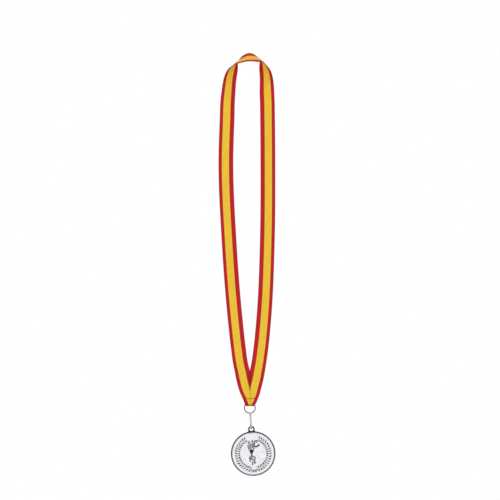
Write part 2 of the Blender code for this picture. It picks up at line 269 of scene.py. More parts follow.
def tube(sections: Array, closed: bool = False) -> Shell:
    """Joins equal cross sections into a tube, S(i, j) for step i along and place j around.

    The map of the run has the distance along in U and the share of the way round in V.

    Args:
        sections: array of steps by places around by 3.
        closed: the last section joins the first; otherwise both ends get a cap.

    Returns:
        The tube as a shell.
    """
    steps, around = sections.shape[:2]
    quads = grid_quads(steps, around, wrap_rows=closed, wrap_columns=True)
    caps = [] if closed else [np.arange(around)[::-1], (steps - 1) * around + np.arange(around)]
    along = lengths_along(sections.mean(axis=1))
    low, left = quads[:, 0] // around, quads[:, 0] % around
    step = along[1] - along[0]
    u = np.stack([along[low], along[low], along[low] + step, along[low] + step], axis=1)
    v = np.stack([left, left + 1, left + 1, left], axis=1) / around
    return Shell(sections.reshape(-1, 3), quads, caps, np.stack([u, v], axis=-1))


def sheet_normals(points: Array, quads: Array) -> Array:
    """Unit normal at each point, the sum of the cross products at the corners that meet there.

    Args:
        points: the sheet's points.
        quads: its faces.

    Returns:
        One row for each point.
    """
    normals = np.zeros_like(points)
    for corner in range(4):
        a, b, c = (points[quads[:, (corner + k) % 4]] for k in (0, 1, 3))
        np.add.at(normals, quads[:, corner], np.cross(b - a, c - a))
    return unit(normals)


def thickened(points: Array, quads: Array, half: Array, corner_uv: Array, point_uv: Array) -> Shell:
    """A closed solid from a sheet, P + half * N in front and P - half * N behind.

    Args:
        points: the sheet's points.
        quads: its faces.
        half: half the cloth's thickness at each point.
        corner_uv: the map at each corner of each face.
        point_uv: the map at each point, for the walls along the edges.

    Returns:
        Both faces of the cloth, joined along every free edge.
    """
    offset = sheet_normals(points, quads) * half[:, None]
    n = len(points)
    start = quads.ravel()
    end = np.roll(quads, -1, axis=1).ravel()
    free = ~np.isin(start * n + end, end * n + start)
    a, b = start[free], end[free]
    walls = np.stack([b, a, a + n, b + n], axis=1)
    wall_uv = point_uv[np.stack([b, a, a, b], axis=1)]
    return Shell(
        np.concatenate([points + offset, points - offset]),
        np.concatenate([quads, quads[:, ::-1] + n, walls]),
        [],
        np.concatenate([corner_uv, corner_uv[:, ::-1], wall_uv]),
    )


def box_section(half_out: float, half_side: float, corner: float, per_corner: int) -> Array:
    """Rounded rectangle, a quarter circle of the corner's radius about each inner corner.

    Args:
        half_out: half its size along the first direction.
        half_side: half its size along the second direction.
        corner: radius of the corners.
        per_corner: how many points each corner has.

    Returns:
        Places round the section, first and second direction in each row.
    """
    a = np.radians(np.linspace(0, 90, per_corner))
    quarter = np.stack([np.cos(a), np.sin(a)], axis=1) * corner
    turns = []
    for sx, sy, flip in ((1, 1, 1), (-1, 1, -1), (-1, -1, 1), (1, -1, -1)):
        arc = quarter[::flip] * (sx, sy) + (sx * (half_out - corner), sy * (half_side - corner))
        turns.append(arc)
    return np.concatenate(turns)


# Finishes --------------------------------------------------------------------------------


class Bench:
    """Lays out shader nodes in one tree, so that a finish reads as a short recipe."""

    def __init__(self, tree: bpy.types.NodeTree) -> None:
        """Keeps the tree that the nodes go in."""
        self.tree = tree

    def put(self, socket: Socket, value: Any) -> None:
        """Links a socket into another, or sets its constant."""
        if isinstance(value, bpy.types.NodeSocket):
            self.tree.links.new(value, socket)
        else:
            socket.default_value = value

    def add(self, kind: str, inputs: dict[Any, Any] | None = None, **settings: Any) -> bpy.types.Node:
        """Adds a node.

        Args:
            kind: the node's type after "ShaderNode".
            inputs: sockets or constants by the input's name or number.
            **settings: properties of the node.

        Returns:
            The new node.
        """
        node = self.tree.nodes.new("ShaderNode" + kind)
        for name, value in settings.items():
            setattr(node, name, value)
        for key, value in (inputs or {}).items():
            self.put(node.inputs[key], value)
        return node

    def math(self, operation: str, *values: Any, clamp: bool = False) -> Socket:
        """One Math node's value."""
        return self.add("Math", dict(enumerate(values)), operation=operation, use_clamp=clamp).outputs[0]

    def blend(self, first: Socket, share: float, second: Socket) -> Socket:
        """A share of one value and the rest of another, first * share + second * (1 - share)."""
        return self.math("ADD", self.math("MULTIPLY", first, share), self.math("MULTIPLY", second, 1 - share))

    def ridges(self, value: Socket, count: float = 1.0) -> Socket:
        """Rounded ridges, so many to each whole number of the value, |sin(pi * count * value)|."""
        return self.math("ABSOLUTE", self.math("SINE", self.math("MULTIPLY", value, count * math.pi)))

    def mix(self, share: Any, first: Any, second: Any, blend: str = "MIX") -> Socket:
        """One colour from two, by a share."""
        node = self.add("Mix", {0: share, 6: first, 7: second}, data_type="RGBA", blend_type=blend)
        return node.outputs[2]

    def span(self, value: Any, low: float, high: float, to_low: Any = 0.0, to_high: Any = 1.0) -> Socket:
        """A smooth step of a value from one range to another."""
        node = self.add(
            "MapRange", {0: value, 1: low, 2: high, 3: to_low, 4: to_high}, interpolation_type="SMOOTHSTEP"
        )
        return node.outputs[0]

    def noise(self, place: Socket, scale: float, detail: float = 2.0, rough: float = 0.5) -> Socket:
        """Cloudy noise from 0 to 1 at a place."""
        node = self.add("TexNoise", {"Vector": place, "Scale": scale, "Detail": detail, "Roughness": rough})
        return node.outputs[0]

    def place(self) -> Socket:
        """Object coordinates, in metres."""
        return self.add("TexCoord").outputs["Object"]

    def run(self) -> tuple[Socket, Socket]:
        """The piece's own map: along and across, or along and around."""
        split = self.add("SeparateXYZ", {0: self.add("UVMap", uv_map="run").outputs[0]})
        return split.outputs[0], split.outputs[1]

    def mask(self, name: str) -> Socket:
        """A piece's own named value."""
        return self.add("Attribute", attribute_name=name).outputs["Fac"]


@dataclass(frozen=True)
class Effect:
    """A node group that several finishes use, built once."""

    name: str
    inputs: tuple[tuple[str, float], ...]
    outputs: tuple[str, ...]

    def lay_out(self, bench: Bench, given: dict[str, Socket]) -> dict[str, Socket]:
        """Lays the effect's nodes; each effect has its own."""
        raise NotImplementedError

    def tree(self) -> bpy.types.NodeTree:
        """The group, made the first time that it is asked for.

        Returns:
            The node group.
        """
        found = bpy.data.node_groups.get(self.name)
        if found:
            return found
        made = bpy.data.node_groups.new(self.name, "ShaderNodeTree")
        for name, value in self.inputs:
            socket = made.interface.new_socket(name, in_out="INPUT", socket_type="NodeSocketFloat")
            socket.default_value = value
        for name in self.outputs:
            made.interface.new_socket(name, in_out="OUTPUT", socket_type="NodeSocketFloat")
        bench = Bench(made)
        entry, leave = made.nodes.new("NodeGroupInput"), made.nodes.new("NodeGroupOutput")
        results = self.lay_out(bench, {s.name: s for s in entry.outputs if s.name})
        for name in self.outputs:
            made.links.new(results[name], leave.inputs[name])
        return made

    def use(self, bench: Bench, **given: Any) -> dict[str, Socket]:
        """Places the group in a finish.

        Args:
            bench: the finish's bench.
            **given: the inputs by name, with _ for a space.

        Returns:
            The group's outputs by name.
        """
        node = bench.tree.nodes.new("ShaderNodeGroup")
        node.node_tree = self.tree()
        for name, value in given.items():
            bench.put(node.inputs[name.replace("_", " ")], value)
        return {s.name: s for s in node.outputs}


class WovenRibs(Effect):
    """Ribs of weft crossed by warp ends that pass over and under them by turns."""

    def lay_out(self, bench: Bench, given: dict[str, Socket]) -> dict[str, Socket]:
        """Height |sin| across each rib, with |sin| across each warp end, shifted by half at odd ribs.

        Args:
            bench: the group's bench.
            given: its inputs by name, in millimetres.

        Returns:
            Height, a tone for each yarn, and 1 on every second rib.
        """
        ribs = bench.math("DIVIDE", given["Along"], given["Rib"])
        ends = bench.math("DIVIDE", given["Across"], given["Warp End"])
        odd = bench.math("MODULO", bench.math("FLOOR", ribs), 2.0)
        shifted = bench.math("ADD", ends, bench.math("MULTIPLY", odd, 0.5))
        height = bench.blend(bench.ridges(ribs), 0.65, bench.ridges(shifted))
        number = bench.add("CombineXYZ", {0: bench.math("FLOOR", shifted), 1: bench.math("FLOOR", ribs)})
        yarn = bench.add("TexWhiteNoise", {"Vector": number.outputs[0]}, noise_dimensions="2D").outputs[0]
        return {"Height": height, "Yarn": yarn, "Odd Rib": odd}


class Handling(Effect):
    """What use leaves on metal: clouded tarnish, hairlines and softer shine where it is touched."""

    def lay_out(self, bench: Bench, given: dict[str, Socket]) -> dict[str, Socket]:
        """Two sizes of cloud for tarnish, and one stretched cloud cut narrow for hairlines.

        Args:
            bench: the group's bench.
            given: its inputs by name, how strong each effect is.

        Returns:
            Both effects from 0 to 1.
        """
        place = bench.place()
        coarse = bench.noise(place, 160.0, 3.0, 0.55)
        fine = bench.noise(place, 1400.0, 2.0, 0.6)
        slant, stretch = (0.4, 0.3, 0.9), (900.0, 5200.0, 9000.0)
        stretched = bench.add("Mapping", {0: place, 2: slant, 3: stretch}).outputs[0]
        lines = bench.span(bench.noise(stretched, 1.0, 1.0, 0.4), 0.63, 0.70)
        cloud = bench.span(bench.blend(coarse, 0.65, fine), 0.35, 0.70)
        tarnish = bench.math("MULTIPLY", cloud, given["Tarnish"])
        hairline = bench.math("MULTIPLY", lines, given["Hairlines"])
        return {"Tarnish": tarnish, "Hairlines": hairline}


class TwistedPlies(Effect):
    """Plies of yarn laid round each other, with the fibres of each ply at the same slant."""

    def lay_out(self, bench: Bench, given: dict[str, Socket]) -> dict[str, Socket]:
        """Ply |sin| and fibre |sin| of the place around less the turns made by the distance along.

        Args:
            bench: the group's bench.
            given: its inputs by name, in millimetres and turns.

        Returns:
            Height from 0 to 1.
        """
        turns = bench.math("DIVIDE", given["Along"], given["Twist"])
        slant = bench.math("SUBTRACT", given["Around"], turns)
        plies, fibres = 2, 14
        return {"Height": bench.blend(bench.ridges(slant, plies), 0.7, bench.ridges(slant, fibres))}


WOVEN_RIBS = WovenRibs(
    "woven_ribs",
    (("Along", 0), ("Across", 0), ("Rib", 0.6), ("Warp End", 0.4)),
    ("Height", "Yarn", "Odd Rib"),
)
HANDLING = Handling("handling", (("Tarnish", 0.3), ("Hairlines", 0.2)), ("Tarnish", "Hairlines"))
TWISTED_PLIES = TwistedPlies("twisted_plies", (("Along", 0), ("Around", 0), ("Twist", 1.2)), ("Height",))


def new_finish(name: str) -> tuple[bpy.types.Material, Bench, bpy.types.Node]:
    """An empty material, its bench and its Principled shader.

    Args:
        name: the material's name.

    Returns:
        The material, the bench of its tree and its shader.
    """
    made = bpy.data.materials.new(name)
    made.use_nodes = True
    return made, Bench(made.node_tree), made.node_tree.nodes["Principled BSDF"]


def coat(bench: Bench, shader: bpy.types.Node, colour: Socket, roughness: Socket) -> None:
    """Links a finish's colour and roughness into its shader."""
    bench.put(shader.inputs["Base Color"], colour)
    bench.put(shader.inputs["Roughness"], roughness)


def emboss(bench: Bench, shader: bpy.types.Node, height: Socket, strength: float, depth: float) -> None:
    """Links a relief into a shader's normal, by a bump of a strength and of a depth in metres."""
    bump = bench.add("Bump", {"Strength": strength, "Distance": depth, "Height": height})
    bench.put(shader.inputs["Normal"], bump.outputs[0])


def shaded(colour: Sequence[float], share: float) -> tuple[float, float, float, float]:
    """A colour times a share, with full alpha."""
    return (colour[0] * share, colour[1] * share, colour[2] * share, 1.0)


@dataclass(frozen=True)
class RibbonCloth:
    """Ribbed polyester band in three stripes, woven with a firm edge."""

    red: tuple[float, float, float] = (0.50, 0.010, 0.018)
    yellow: tuple[float, float, float] = (0.86, 0.555, 0.036)
    shadow: tuple[float, float, float] = (0.42, 0.24, 0.04)
    first_border: float = 3.75
    second_border: float = 11.75
    step: float = 0.16  # an odd rib's border stands this much further out
    blur: float = 0.14  # width over which one colour goes over into the other
    rib: float = 0.62
    warp_end: float = 0.41
    cloud_scale: float = 55.0
    roughness: float = 0.62

    def material(self) -> bpy.types.Material:
        """Builds the cloth: stripes by the distance across, yarn by yarn tone, ribs, and painted shade in the
        rib hollows and along the creases.

        Returns:
            The cloth.
        """
        made, bench, shader = new_finish("woven_ribbon")
        along, across = bench.run()
        weave = WOVEN_RIBS.use(bench, Along=along, Across=across, Rib=self.rib, Warp_End=self.warp_end)
        stepped = bench.math("MULTIPLY_ADD", weave["Odd Rib"], self.step, across)
        inside = bench.span(stepped, self.first_border, self.first_border + self.blur)
        outside = bench.span(stepped, self.second_border, self.second_border + self.blur)
        stripe = bench.math("SUBTRACT", inside, outside, clamp=True)
        slow = bench.noise(bench.place(), self.cloud_scale, 3.0, 0.6)
        red = bench.mix(slow, shaded(self.red, 0.88), shaded(self.red, 1.10))
        warm = (self.yellow[0], self.yellow[1] * 0.95, self.yellow[2])
        yellow = bench.mix(slow, shaded(warm, 0.96), shaded(self.yellow, 1.04))
        colour = bench.mix(stripe, red, yellow)
        tone = bench.span(weave["Yarn"], 0.0, 1.0, 0.90, 1.06)
        # painted shade: the colour darkens in the hollows between the ribs
        depth = bench.span(weave["Height"], 0.0, 0.75, 0.70, 1.06)
        shade = bench.math("MULTIPLY", tone, depth)
        grey = bench.add("CombineColor", {0: shade, 1: shade, 2: shade}).outputs[0]
        # painted shade: the colour is tinted towards the shadow colour along the mitre, the fold, the stitch
        # line and the seam turnings
        crease_shaded = bench.mix(bench.mask("crease_shade"), (1.0, 1.0, 1.0, 1.0), (*self.shadow, 1.0))
        toned = bench.mix(1.0, colour, grey, "MULTIPLY")
        matt = bench.span(weave["Yarn"], 0.0, 1.0, self.roughness - 0.06, self.roughness + 0.1)
        coat(bench, shader, bench.mix(1.0, toned, crease_shaded, "MULTIPLY"), matt)
        emboss(bench, shader, weave["Height"], 0.7, 0.00012)
        shader.inputs["Specular IOR Level"].default_value = 0.18
        shader.inputs["Sheen Weight"].default_value = 0.05
        shader.inputs["Sheen Roughness"].default_value = 0.45
        return made


@dataclass(frozen=True)
class StitchThread:
    """Spun two-ply sewing thread."""

    colour: tuple[float, float, float] = (0.40, 0.165, 0.008)
    twist: float = 1.1

    def material(self) -> bpy.types.Material:
        """Builds the thread: plies and fibres in relief, with painted shade in the hollows between them.

        Returns:
            The thread.
        """
        made, bench, shader = new_finish("sewing_thread")
        along, around = bench.run()
        plies = TWISTED_PLIES.use(bench, Along=along, Around=around, Twist=self.twist)
        slub = bench.noise(bench.place(), 900.0, 2.0, 0.6)
        lit = bench.mix(slub, shaded(self.colour, 0.85), shaded(self.colour, 1.2))
        # painted shade: darker in the hollows between the plies
        ply_hollow_shade = bench.span(plies["Height"], 0.0, 0.8)
        matt = bench.span(slub, 0.2, 0.8, 0.55, 0.75)
        coat(bench, shader, bench.mix(ply_hollow_shade, shaded(self.colour, 0.4), lit), matt)
        emboss(bench, shader, plies["Height"], 0.8, 0.00005)
        shader.inputs["Sheen Weight"].default_value = 0.15
        return made


@dataclass(frozen=True)
class PlatedWire:
    """Nickel-plated steel wire, drawn and then tumbled."""

    name: str
    bright: tuple[float, float, float]
    dull: tuple[float, float, float]
    roughness: float
    tarnish: float
    lines_along: float = 0.35  # drawing lines to the millimetre, few as they are long
    lines_around: float = 40.0
    drawn: float = 0.35

    def material(self) -> bpy.types.Material:
        """Builds the wire: drawing lines along its run, hairlines and a little tarnish.

        Returns:
            The wire.
        """
        made, bench, shader = new_finish(self.name)
        use = HANDLING.use(bench, Tarnish=self.tarnish, Hairlines=0.25)
        along, around = bench.run()
        stretched = bench.math("MULTIPLY", along, self.lines_along)
        lane = bench.add("CombineXYZ", {0: stretched, 1: bench.math("MULTIPLY", around, self.lines_around)})
        drawing = bench.noise(lane.outputs[0], 1.0, 2.0, 0.6)
        share = bench.math("ADD", use["Tarnish"], bench.math("MULTIPLY", drawing, 0.12), clamp=True)
        shine = bench.math("MULTIPLY_ADD", use["Hairlines"], 0.25, self.roughness)
        matt = bench.math("MULTIPLY_ADD", use["Tarnish"], 0.35, shine)
        coat(bench, shader, bench.mix(share, shaded(self.bright, 1.0), shaded(self.dull, 1.0)), matt)
        emboss(bench, shader, drawing, self.drawn, 0.00002)
        shader.inputs["Metallic"].default_value = 1.0
        return made


@dataclass(frozen=True)
class AntiqueSilver:
    """Silvered zinc, waxed dark in its hollows and rubbed clean on the leaves and the rim's top; the torch
    and the lug are painted dark, and the rim's outer bevel and edge carry a painted dark reflection.
    """

    silver: tuple[float, float, float] = (0.95, 0.95, 0.98)
    clouded: tuple[float, float, float] = (0.74, 0.74, 0.80)
    # one dark colour for the waxing in the hollows and for the painted dark reflection on the rim's bevel and
    # edge
    wax_and_dark_reflection: tuple[float, float, float] = (0.018, 0.018, 0.021)
    polished: float = 0.30
    frosted: float = 0.52

    def material(self) -> bpy.types.Material:
        """Builds the silver: dark waxing and painted dark reflection by the piece's own mask, frosting on the
        flat field, hairlines.

        Returns:
            The silver.
        """
        made, bench, shader = new_finish("medal_silver")
        place = bench.place()
        use = HANDLING.use(bench, Tarnish=0.55, Hairlines=0.5)
        frost = bench.mask("frost")
        mottle = bench.span(bench.noise(place, 620.0, 3.0, 0.6), 0.35, 0.68)
        patches = bench.math("MULTIPLY", mottle, 0.45)
        soft = bench.math("ADD", patches, bench.math("MULTIPLY", use["Tarnish"], 0.8), clamp=True)
        metal = bench.mix(soft, shaded(self.silver, 1.0), shaded(self.clouded, 1.0))
        broken = bench.span(bench.noise(place, 2600.0, 2.0, 0.6), 0.2, 0.8, 0.88, 1.12)
        # the piece's mask: waxing in the hollows, painted dark reflection on the rim's outer bevel and edge
        wax_and_dark_reflection = bench.math("MULTIPLY", bench.mask("wax_and_dark_reflection"), broken, clamp=True)
        shine = bench.span(frost, 0.0, 1.0, self.polished, self.frosted)
        worn = bench.math("MULTIPLY_ADD", use["Hairlines"], -0.08, shine)
        matt = bench.math("MULTIPLY_ADD", wax_and_dark_reflection, 0.25, worn, clamp=True)
        coat(bench, shader, bench.mix(wax_and_dark_reflection, metal, shaded(self.wax_and_dark_reflection, 1.0)), matt)
        stipple = bench.math("MULTIPLY", bench.noise(place, 3600.0, 2.0, 0.65), frost)
        ridge = bench.math("MULTIPLY_ADD", use["Hairlines"], -0.25, stipple)
        emboss(bench, shader, ridge, 0.55, 0.00005)
        shader.inputs["Metallic"].default_value = 1.0
        return made


@dataclass(frozen=True)
class FloorPaint:
    """Plain pale floor that fades out at its edge."""

    colour: tuple[float, float, float] = (0.90, 0.90, 0.90)
    centre_y: float = -0.4
    fade_from: float = 0.7
    fade_to: float = 1.2

    def material(self) -> bpy.types.Material:
        """Builds the floor: faint clouding, and alpha by the distance from its middle.

        Returns:
            The paint.
        """
        made, bench, shader = new_finish("pale_floor")
        place = bench.place()
        cloud = bench.noise(place, 3.0, 2.0, 0.5)
        colour = bench.mix(cloud, shaded(self.colour, 0.98), shaded(self.colour, 1.02))
        coat(bench, shader, colour, bench.span(cloud, 0.2, 0.8, 0.75, 0.85))
        split = bench.add("SeparateXYZ", {0: place})
        behind = bench.math("SUBTRACT", split.outputs[1], self.centre_y)
        level = bench.add("CombineXYZ", {0: split.outputs[0], 1: behind})
        reach = bench.add("VectorMath", {0: level.outputs[0]}, operation="LENGTH").outputs["Value"]
        bench.put(shader.inputs["Alpha"], bench.span(reach, self.fade_from, self.fade_to, 1.0, 0.0))
        return made


# Pieces ----------------------------------------------------------------------------------


def dress(
    obj: bpy.types.Object, finish: bpy.types.Material, slot: str, body: str, *stands_for: str
) -> bpy.types.Object:
    """Gives a piece its finish and body, and hides the solids that it stands for.

    Args:
        obj: the piece.
        finish: its material.
        slot: not used.
        body: name of the body that it rides on.
        *stands_for: names of the solids that it is seen in place of.

    Returns:
        The same piece.
    """
    obj.data.materials.append(finish)
    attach(obj, body)
    if stands_for:
        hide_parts(*stands_for)
    return obj


class Side(Enum):
    """Left or right as seen from the front, with the sign of X."""

    LEFT = -1
    RIGHT = 1


@dataclass
class NeckRibbon:
    """One woven band: up the left, over the neck, down the right, mitred and folded at the tip."""

    width: float = 16.6
    half_thick: float = 0.22
    selvedge: float = 0.42
    cord: float = 0.14  # share by which the cord inside the selvedge is thicker
    strand_rows: int = 900
    tip_rows: int = 150
    joined_rows: int = 10  # rows over which the strands meet the tip
    settled: float = 45.0  # distance from a notch over which the waves start
    swell: float = 0.22
    # Sines of the distance along: the distance for one radian, the start in radians, the height
    waves: tuple[tuple[float, float, float], ...] = ((5.9, 1.0, 0.05), (9.7, 0.0, 0.08), (16.1, 2.0, 0.10))
    rocking: tuple[float, float, float] = (13.3, 0.7, 0.10)
    fold_radius: float = 1.1
    fold_sag: float = 0.1  # the cloth's middle hangs this far below the fold's height
    pocket_half: float = 1.8  # half the depth of the pocket round the ring's wire
    pocket_up: float = 4.7  # its deepest place above the fold
    tail_up: float = 15.0
    notch_drop: float = 2.4  # the notch row's ends stand this much lower than its middle
    shoulder_arch: float = 2.3
    crown_dip: float = 0.35
    # Sides of the sewn tip: height above the fold, half width
    outline: tuple[tuple[float, float], ...] = (
        (0, 4.75), (1.2, 5.55), (3.3, 6.6), (6.6, 8.0), (10.0, 9.4),
        (13.3, 10.75), (20.0, 12.8), (27.0, 14.7), (33.5, 16.1), (39.0, 17.0),
    )
    tail_inset: float = 0.3  # the tail is this much narrower on each side
    stitched_half: float = 5.0
    pressed: float = 0.10
    puckered: float = 0.07
    rumpled: float = 0.10
    grooved: float = 0.20
    turning_from: float = 16.2  # trimmed off below this height
    turning_most: float = 4.6  # and past this width
    turning_rows: int = 70
    turning_gap: float = 0.10
    turning_lift: float = 0.10

    def stations(self) -> Array:
        """Places on the middle of the strands, with the way that the width points there.

        Returns:
            Rows of x, y, z, the turn of the width from +X to +Y and its rise, in degrees.
        """
        return np.array([
            (-8.45, FRONT_Y, NOTCH_Z - 1.2, 0, 9),
            (-10.55, FRONT_Y, NOTCH_Z + 8.5, 0, 8),
            (-12.6, FRONT_Y, NOTCH_Z + 23, 0, 7),
            (-16.4, FRONT_Y, -295, 0, 6),
            (-23.4, -5.3, -205, 0, 3),
            (-26.9, -4.5, -116, 0, 0),
            (-25.6, -0.5, -70, 3, 0),
            (-24.5, 2.5, -43, 16, -8),
            (-19.0, 4.5, -14.5, 50, -6),
            (-13.5, 2.5, -5.8, 74, 24),
            (0, 0, 0.5, 92, 38.5),
            (12.5, 2.5, -4.5, 112, 21),
            (16.5, 4.5, -13.6, 134, -6),
            (19.5, 2.0, -44, 177, 0),
            (20.0, -0.5, -70, 180, 0),
            (20.3, -4.5, -116, 180, 0),
            (19.7, -5.3, -205, 180, 2),
            (15.6, FRONT_Y, -295, 180, 5),
            (12.2, FRONT_Y, NOTCH_Z + 23, 180, 7),
            (10.15, FRONT_Y, NOTCH_Z + 8.5, 180, 8),
            (8.45, FRONT_Y, NOTCH_Z - 1.2, 180, 9),
        ], float)

    def shares(self) -> Array:
        """Columns as shares of the width from the outer edge, closer together at both edges.

        Returns:
            Rising shares from 0 to 1.
        """
        edge = np.array([0.0, 0.05, 0.15, 0.32, 0.6, 1.0, 1.5])
        middle = np.linspace(2.1, self.width - 2.1, 17)
        return np.r_[edge, middle, self.width - edge[::-1]] / self.width

    def strands(self) -> tuple[Array, Array]:
        """Points of the strands, middle + across * width / 2 + out * normal, across from -1 to 1.

        What goes out along the normal is a slight arch, 1 - across^2, which is turned the other
        way and deepened where the band turns over at each shoulder, with a dip in it between
        them; a ripple, the sum of three sines of the distance along, strongest at the edges;
        and a rocking from edge to edge, one more sine. All but the shoulders' arch start from
        nothing at the sewn tip, by a smooth step.

        Returns:
            Points by row and column, and each row's distance from the notch.
        """
        stations = self.stations()
        knots = lengths_along(stations[:, :3])
        fine = hermite(knots, stations, np.linspace(0, knots[-1], 6000))
        path = evenly(fine, self.strand_rows)
        middle, turn, rise = path[:, :3], np.radians(path[:, 3]), np.radians(path[:, 4])
        along = unit(np.gradient(middle, axis=0))
        wide = np.stack([np.cos(turn) * np.cos(rise), np.sin(turn) * np.cos(rise), np.sin(rise)], axis=1)
        wide = unit(wide - (wide * along).sum(1)[:, None] * along)
        normal = np.cross(wide, along)
        at = lengths_along(middle)
        across = 2 * self.shares()[None, :] - 1
        arch = 1 - across**2
        loose = ease(at / self.settled) * ease((at[-1] - at) / self.settled)
        wave = sum(np.sin(at / length + start) * high for length, start, high in self.waves)
        length, start, high = self.rocking
        rocked = np.sin(at / length + start)[:, None] * across * high
        ripple = wave[:, None] * (0.35 + 0.65 * across**2) + rocked
        aside = np.abs(path[:, 3] - 90)  # degrees from where the width points straight back
        over = self.shoulder_arch * ease((aside - 5) / 15) * (1 - ease((aside - 35) / 52))
        over = over - self.crown_dip * bell(aside, 9)
        out = self.swell * arch * loose[:, None] - over[:, None] * arch + ripple * loose[:, None]
        points = middle[:, None, :] + wide[:, None, :] * (across * self.width / 2)[:, :, None]
        return points + normal[:, None, :] * out[:, :, None], at

    def profile(self) -> Array:
        """The tip's side view, (depth, height) from the notch round the fold and up to the tail's end.

        Down the front in a straight line, out by a smooth step to the pocket round the ring's
        wire, in to a quarter circle at the fold, and the same mirrored behind.

        Returns:
            Rows of depth, height above the fold, and 0 in front or 1 behind.
        """
        front, bottom = FRONT_Y - HANG_Y, self.fold_radius - self.fold_sag
        top, pocket_top = NOTCH_Z - FOLD_Z, STITCH_UP - 0.4
        straight_rows, pocket_rows, fold_rows = 90, 30, 16
        heights = np.linspace(top, pocket_top, straight_rows)
        down = np.stack([np.full(straight_rows, front), heights], axis=1)
        t = np.linspace(0, 1, pocket_rows)[1:]
        swell = np.stack([
            front - (self.pocket_half + front) * ease(t),
            pocket_top - (pocket_top - self.pocket_up) * t,
        ], axis=1)
        slope = np.stack([
            -self.pocket_half + (self.pocket_half - self.fold_radius) * t,
            self.pocket_up + (bottom - self.pocket_up) * t,
        ], axis=1)
        a = np.radians(np.linspace(0, 90, fold_rows))[1:]
        turn = np.stack([-self.fold_radius * np.cos(a), bottom - self.fold_radius * np.sin(a)], axis=1)
        ahead = np.concatenate([down, swell, slope, turn])
        behind = ahead[::-1][1:] * (-1, 1)
        behind = np.concatenate([behind[behind[:, 1] < self.tail_up], [(-front, self.tail_up)]])
        flag = np.r_[np.zeros(len(ahead)), np.ones(len(behind))]
        return evenly(np.c_[np.concatenate([ahead, behind]), flag], self.tip_rows, 2)

    def half_width(self, up: Array) -> Array:
        """Half the width of the sewn tip at a height above the fold, a smooth curve by its outline."""
        heights, halves = np.array(self.outline, float).T
        return hermite(heights, halves, up)

    def sewn(self, height: Array) -> Array:
        """1 where the two sides are sewn together along the mitre, 0 at the notch, a smooth step."""
        return ease((NOTCH_Z - FOLD_Z - 0.2 - height) / 2.5)

    def stitched(self, x: Array) -> Array:
        """1 over the length of the cross stitch, 0 past its ends, a smooth step."""
        return 1 - ease((np.abs(x) - self.stitched_half) / 0.9)

    def dents(self, x: Array, height: Array) -> Array:
        """How far the cloth of the tip is pressed in at a place.

        Across the stitch a bell, doubled at each stitch hole by |cos|^6; on both sides of it
        puckers, a sine along it under a bell; along the mitre a bell; and below the stitch a
        product of two waves.

        Args:
            x: place across, from the mitre.
            height: place above the fold.

        Returns:
            Depths in millimetres.
        """
        from_stitch = height - stitch_height(x)
        phase = math.pi * x / STITCH_LENGTH
        line = bell(from_stitch, 0.75) * self.pressed * (1 + np.abs(np.cos(phase)) ** 6)
        pucker = self.puckered * np.sin(2 * phase) * bell(np.abs(from_stitch) - 1.5, 1.2)
        below = ease((STITCH_UP - 1.4 - height) / 2.0) * ease((height - 0.6) / 1.5)
        rumple = self.rumpled * np.sin(1.9 * x + 1.3 * height) * np.cos(0.8 * x - 0.5) * below
        groove = self.grooved * bell(x, 0.5) * self.sewn(height)
        return (line + pucker) * self.stitched(x) + rumple + groove

    def crease_shades(self, x: Array, height: Array, half: Array, to_end: Array, ahead: Array) -> Array:
        """Painted shade of the tip's creases at a place, bells and smooth steps added up.

        They lie along the mitre, wider above 15 mm; over the front of the fold; along the left
        edge low down; along the cross stitch; and at the tail's end.

        Args:
            x: place across, from the mitre.
            height: place above the fold.
            half: half the tip's width there.
            to_end: distance left to the tail's end.
            ahead: 1 in front of the fold, 0 behind it.

        Returns:
            Values from 0 to 1.
        """
        spread = (0.30 * bell(x, 1.9) + 0.35 * bell(x, 0.6)) * ease((height - 15.0) / 5.0)
        mitre = (0.55 * bell(x, 0.45) + spread) * self.sewn(height)
        fold = 0.25 * (1 - ease((height - 0.2) / 3.5)) * ahead
        left = 0.45 * bell(half + x - 1.5, 1.3) * (1 - ease((height - 1.0) / 9.0))
        stitch = 0.8 * bell(height - stitch_height(x), 0.42) * self.stitched(x)
        return np.clip(mitre + fold + left + stitch + 0.35 * bell(to_end, 0.5), 0, 1)

    def tip(self) -> tuple[Array, Array, Array, Array]:
        """Points of the sewn tip, (half * e, depth + dents, up - drop * |e|) for e from -1 to 1.

        The whole leans a little to the right near the fold.

        Returns:
            Points by row and column, the run (distance past the notch, distance from the outer
            edge) at each, the painted shade of the creases, and the distance from a free edge.
        """
        depth, up, behind = self.profile().T
        ahead = (behind < 0.5)[:, None]
        drop = self.notch_drop * (up / (NOTCH_Z - FOLD_Z)) ** 3 * (behind < 0.5)
        half = self.half_width(up - drop) - self.tail_inset * ease((up - 1.15) / 2.0) * (behind > 0.5)
        run = lengths_along(np.c_[depth, up])
        slant = np.arctan(np.gradient(half, run))[:, None]
        share = self.shares()
        e = np.r_[share - 1.0, (1.0 - share[::-1])[1:]][None, :]
        half, drop = half[:, None], drop[:, None] * np.abs(e)
        x = half * e
        height = up[:, None] - drop
        y = HANG_Y + depth[:, None] + np.where(ahead, 1.0, -1.0) * self.dents(x, height)
        from_edge = half - np.abs(x)
        runs = np.stack([run[:, None] + drop - from_edge * np.sin(slant), from_edge * np.cos(slant)], axis=-1)
        to_end = run[-1] - run[:, None]
        sewn, inside = self.sewn(height), 9.0
        from_notch = np.where(sewn < 0.5, np.abs(x) + 2.0 * sewn, inside)
        edge = np.minimum(np.minimum(from_edge, to_end), from_notch)
        points = np.stack([x + tip_lean(height), y, FOLD_Z + height], axis=-1)
        return points, runs, self.crease_shades(x, height, half, to_end, ahead), edge

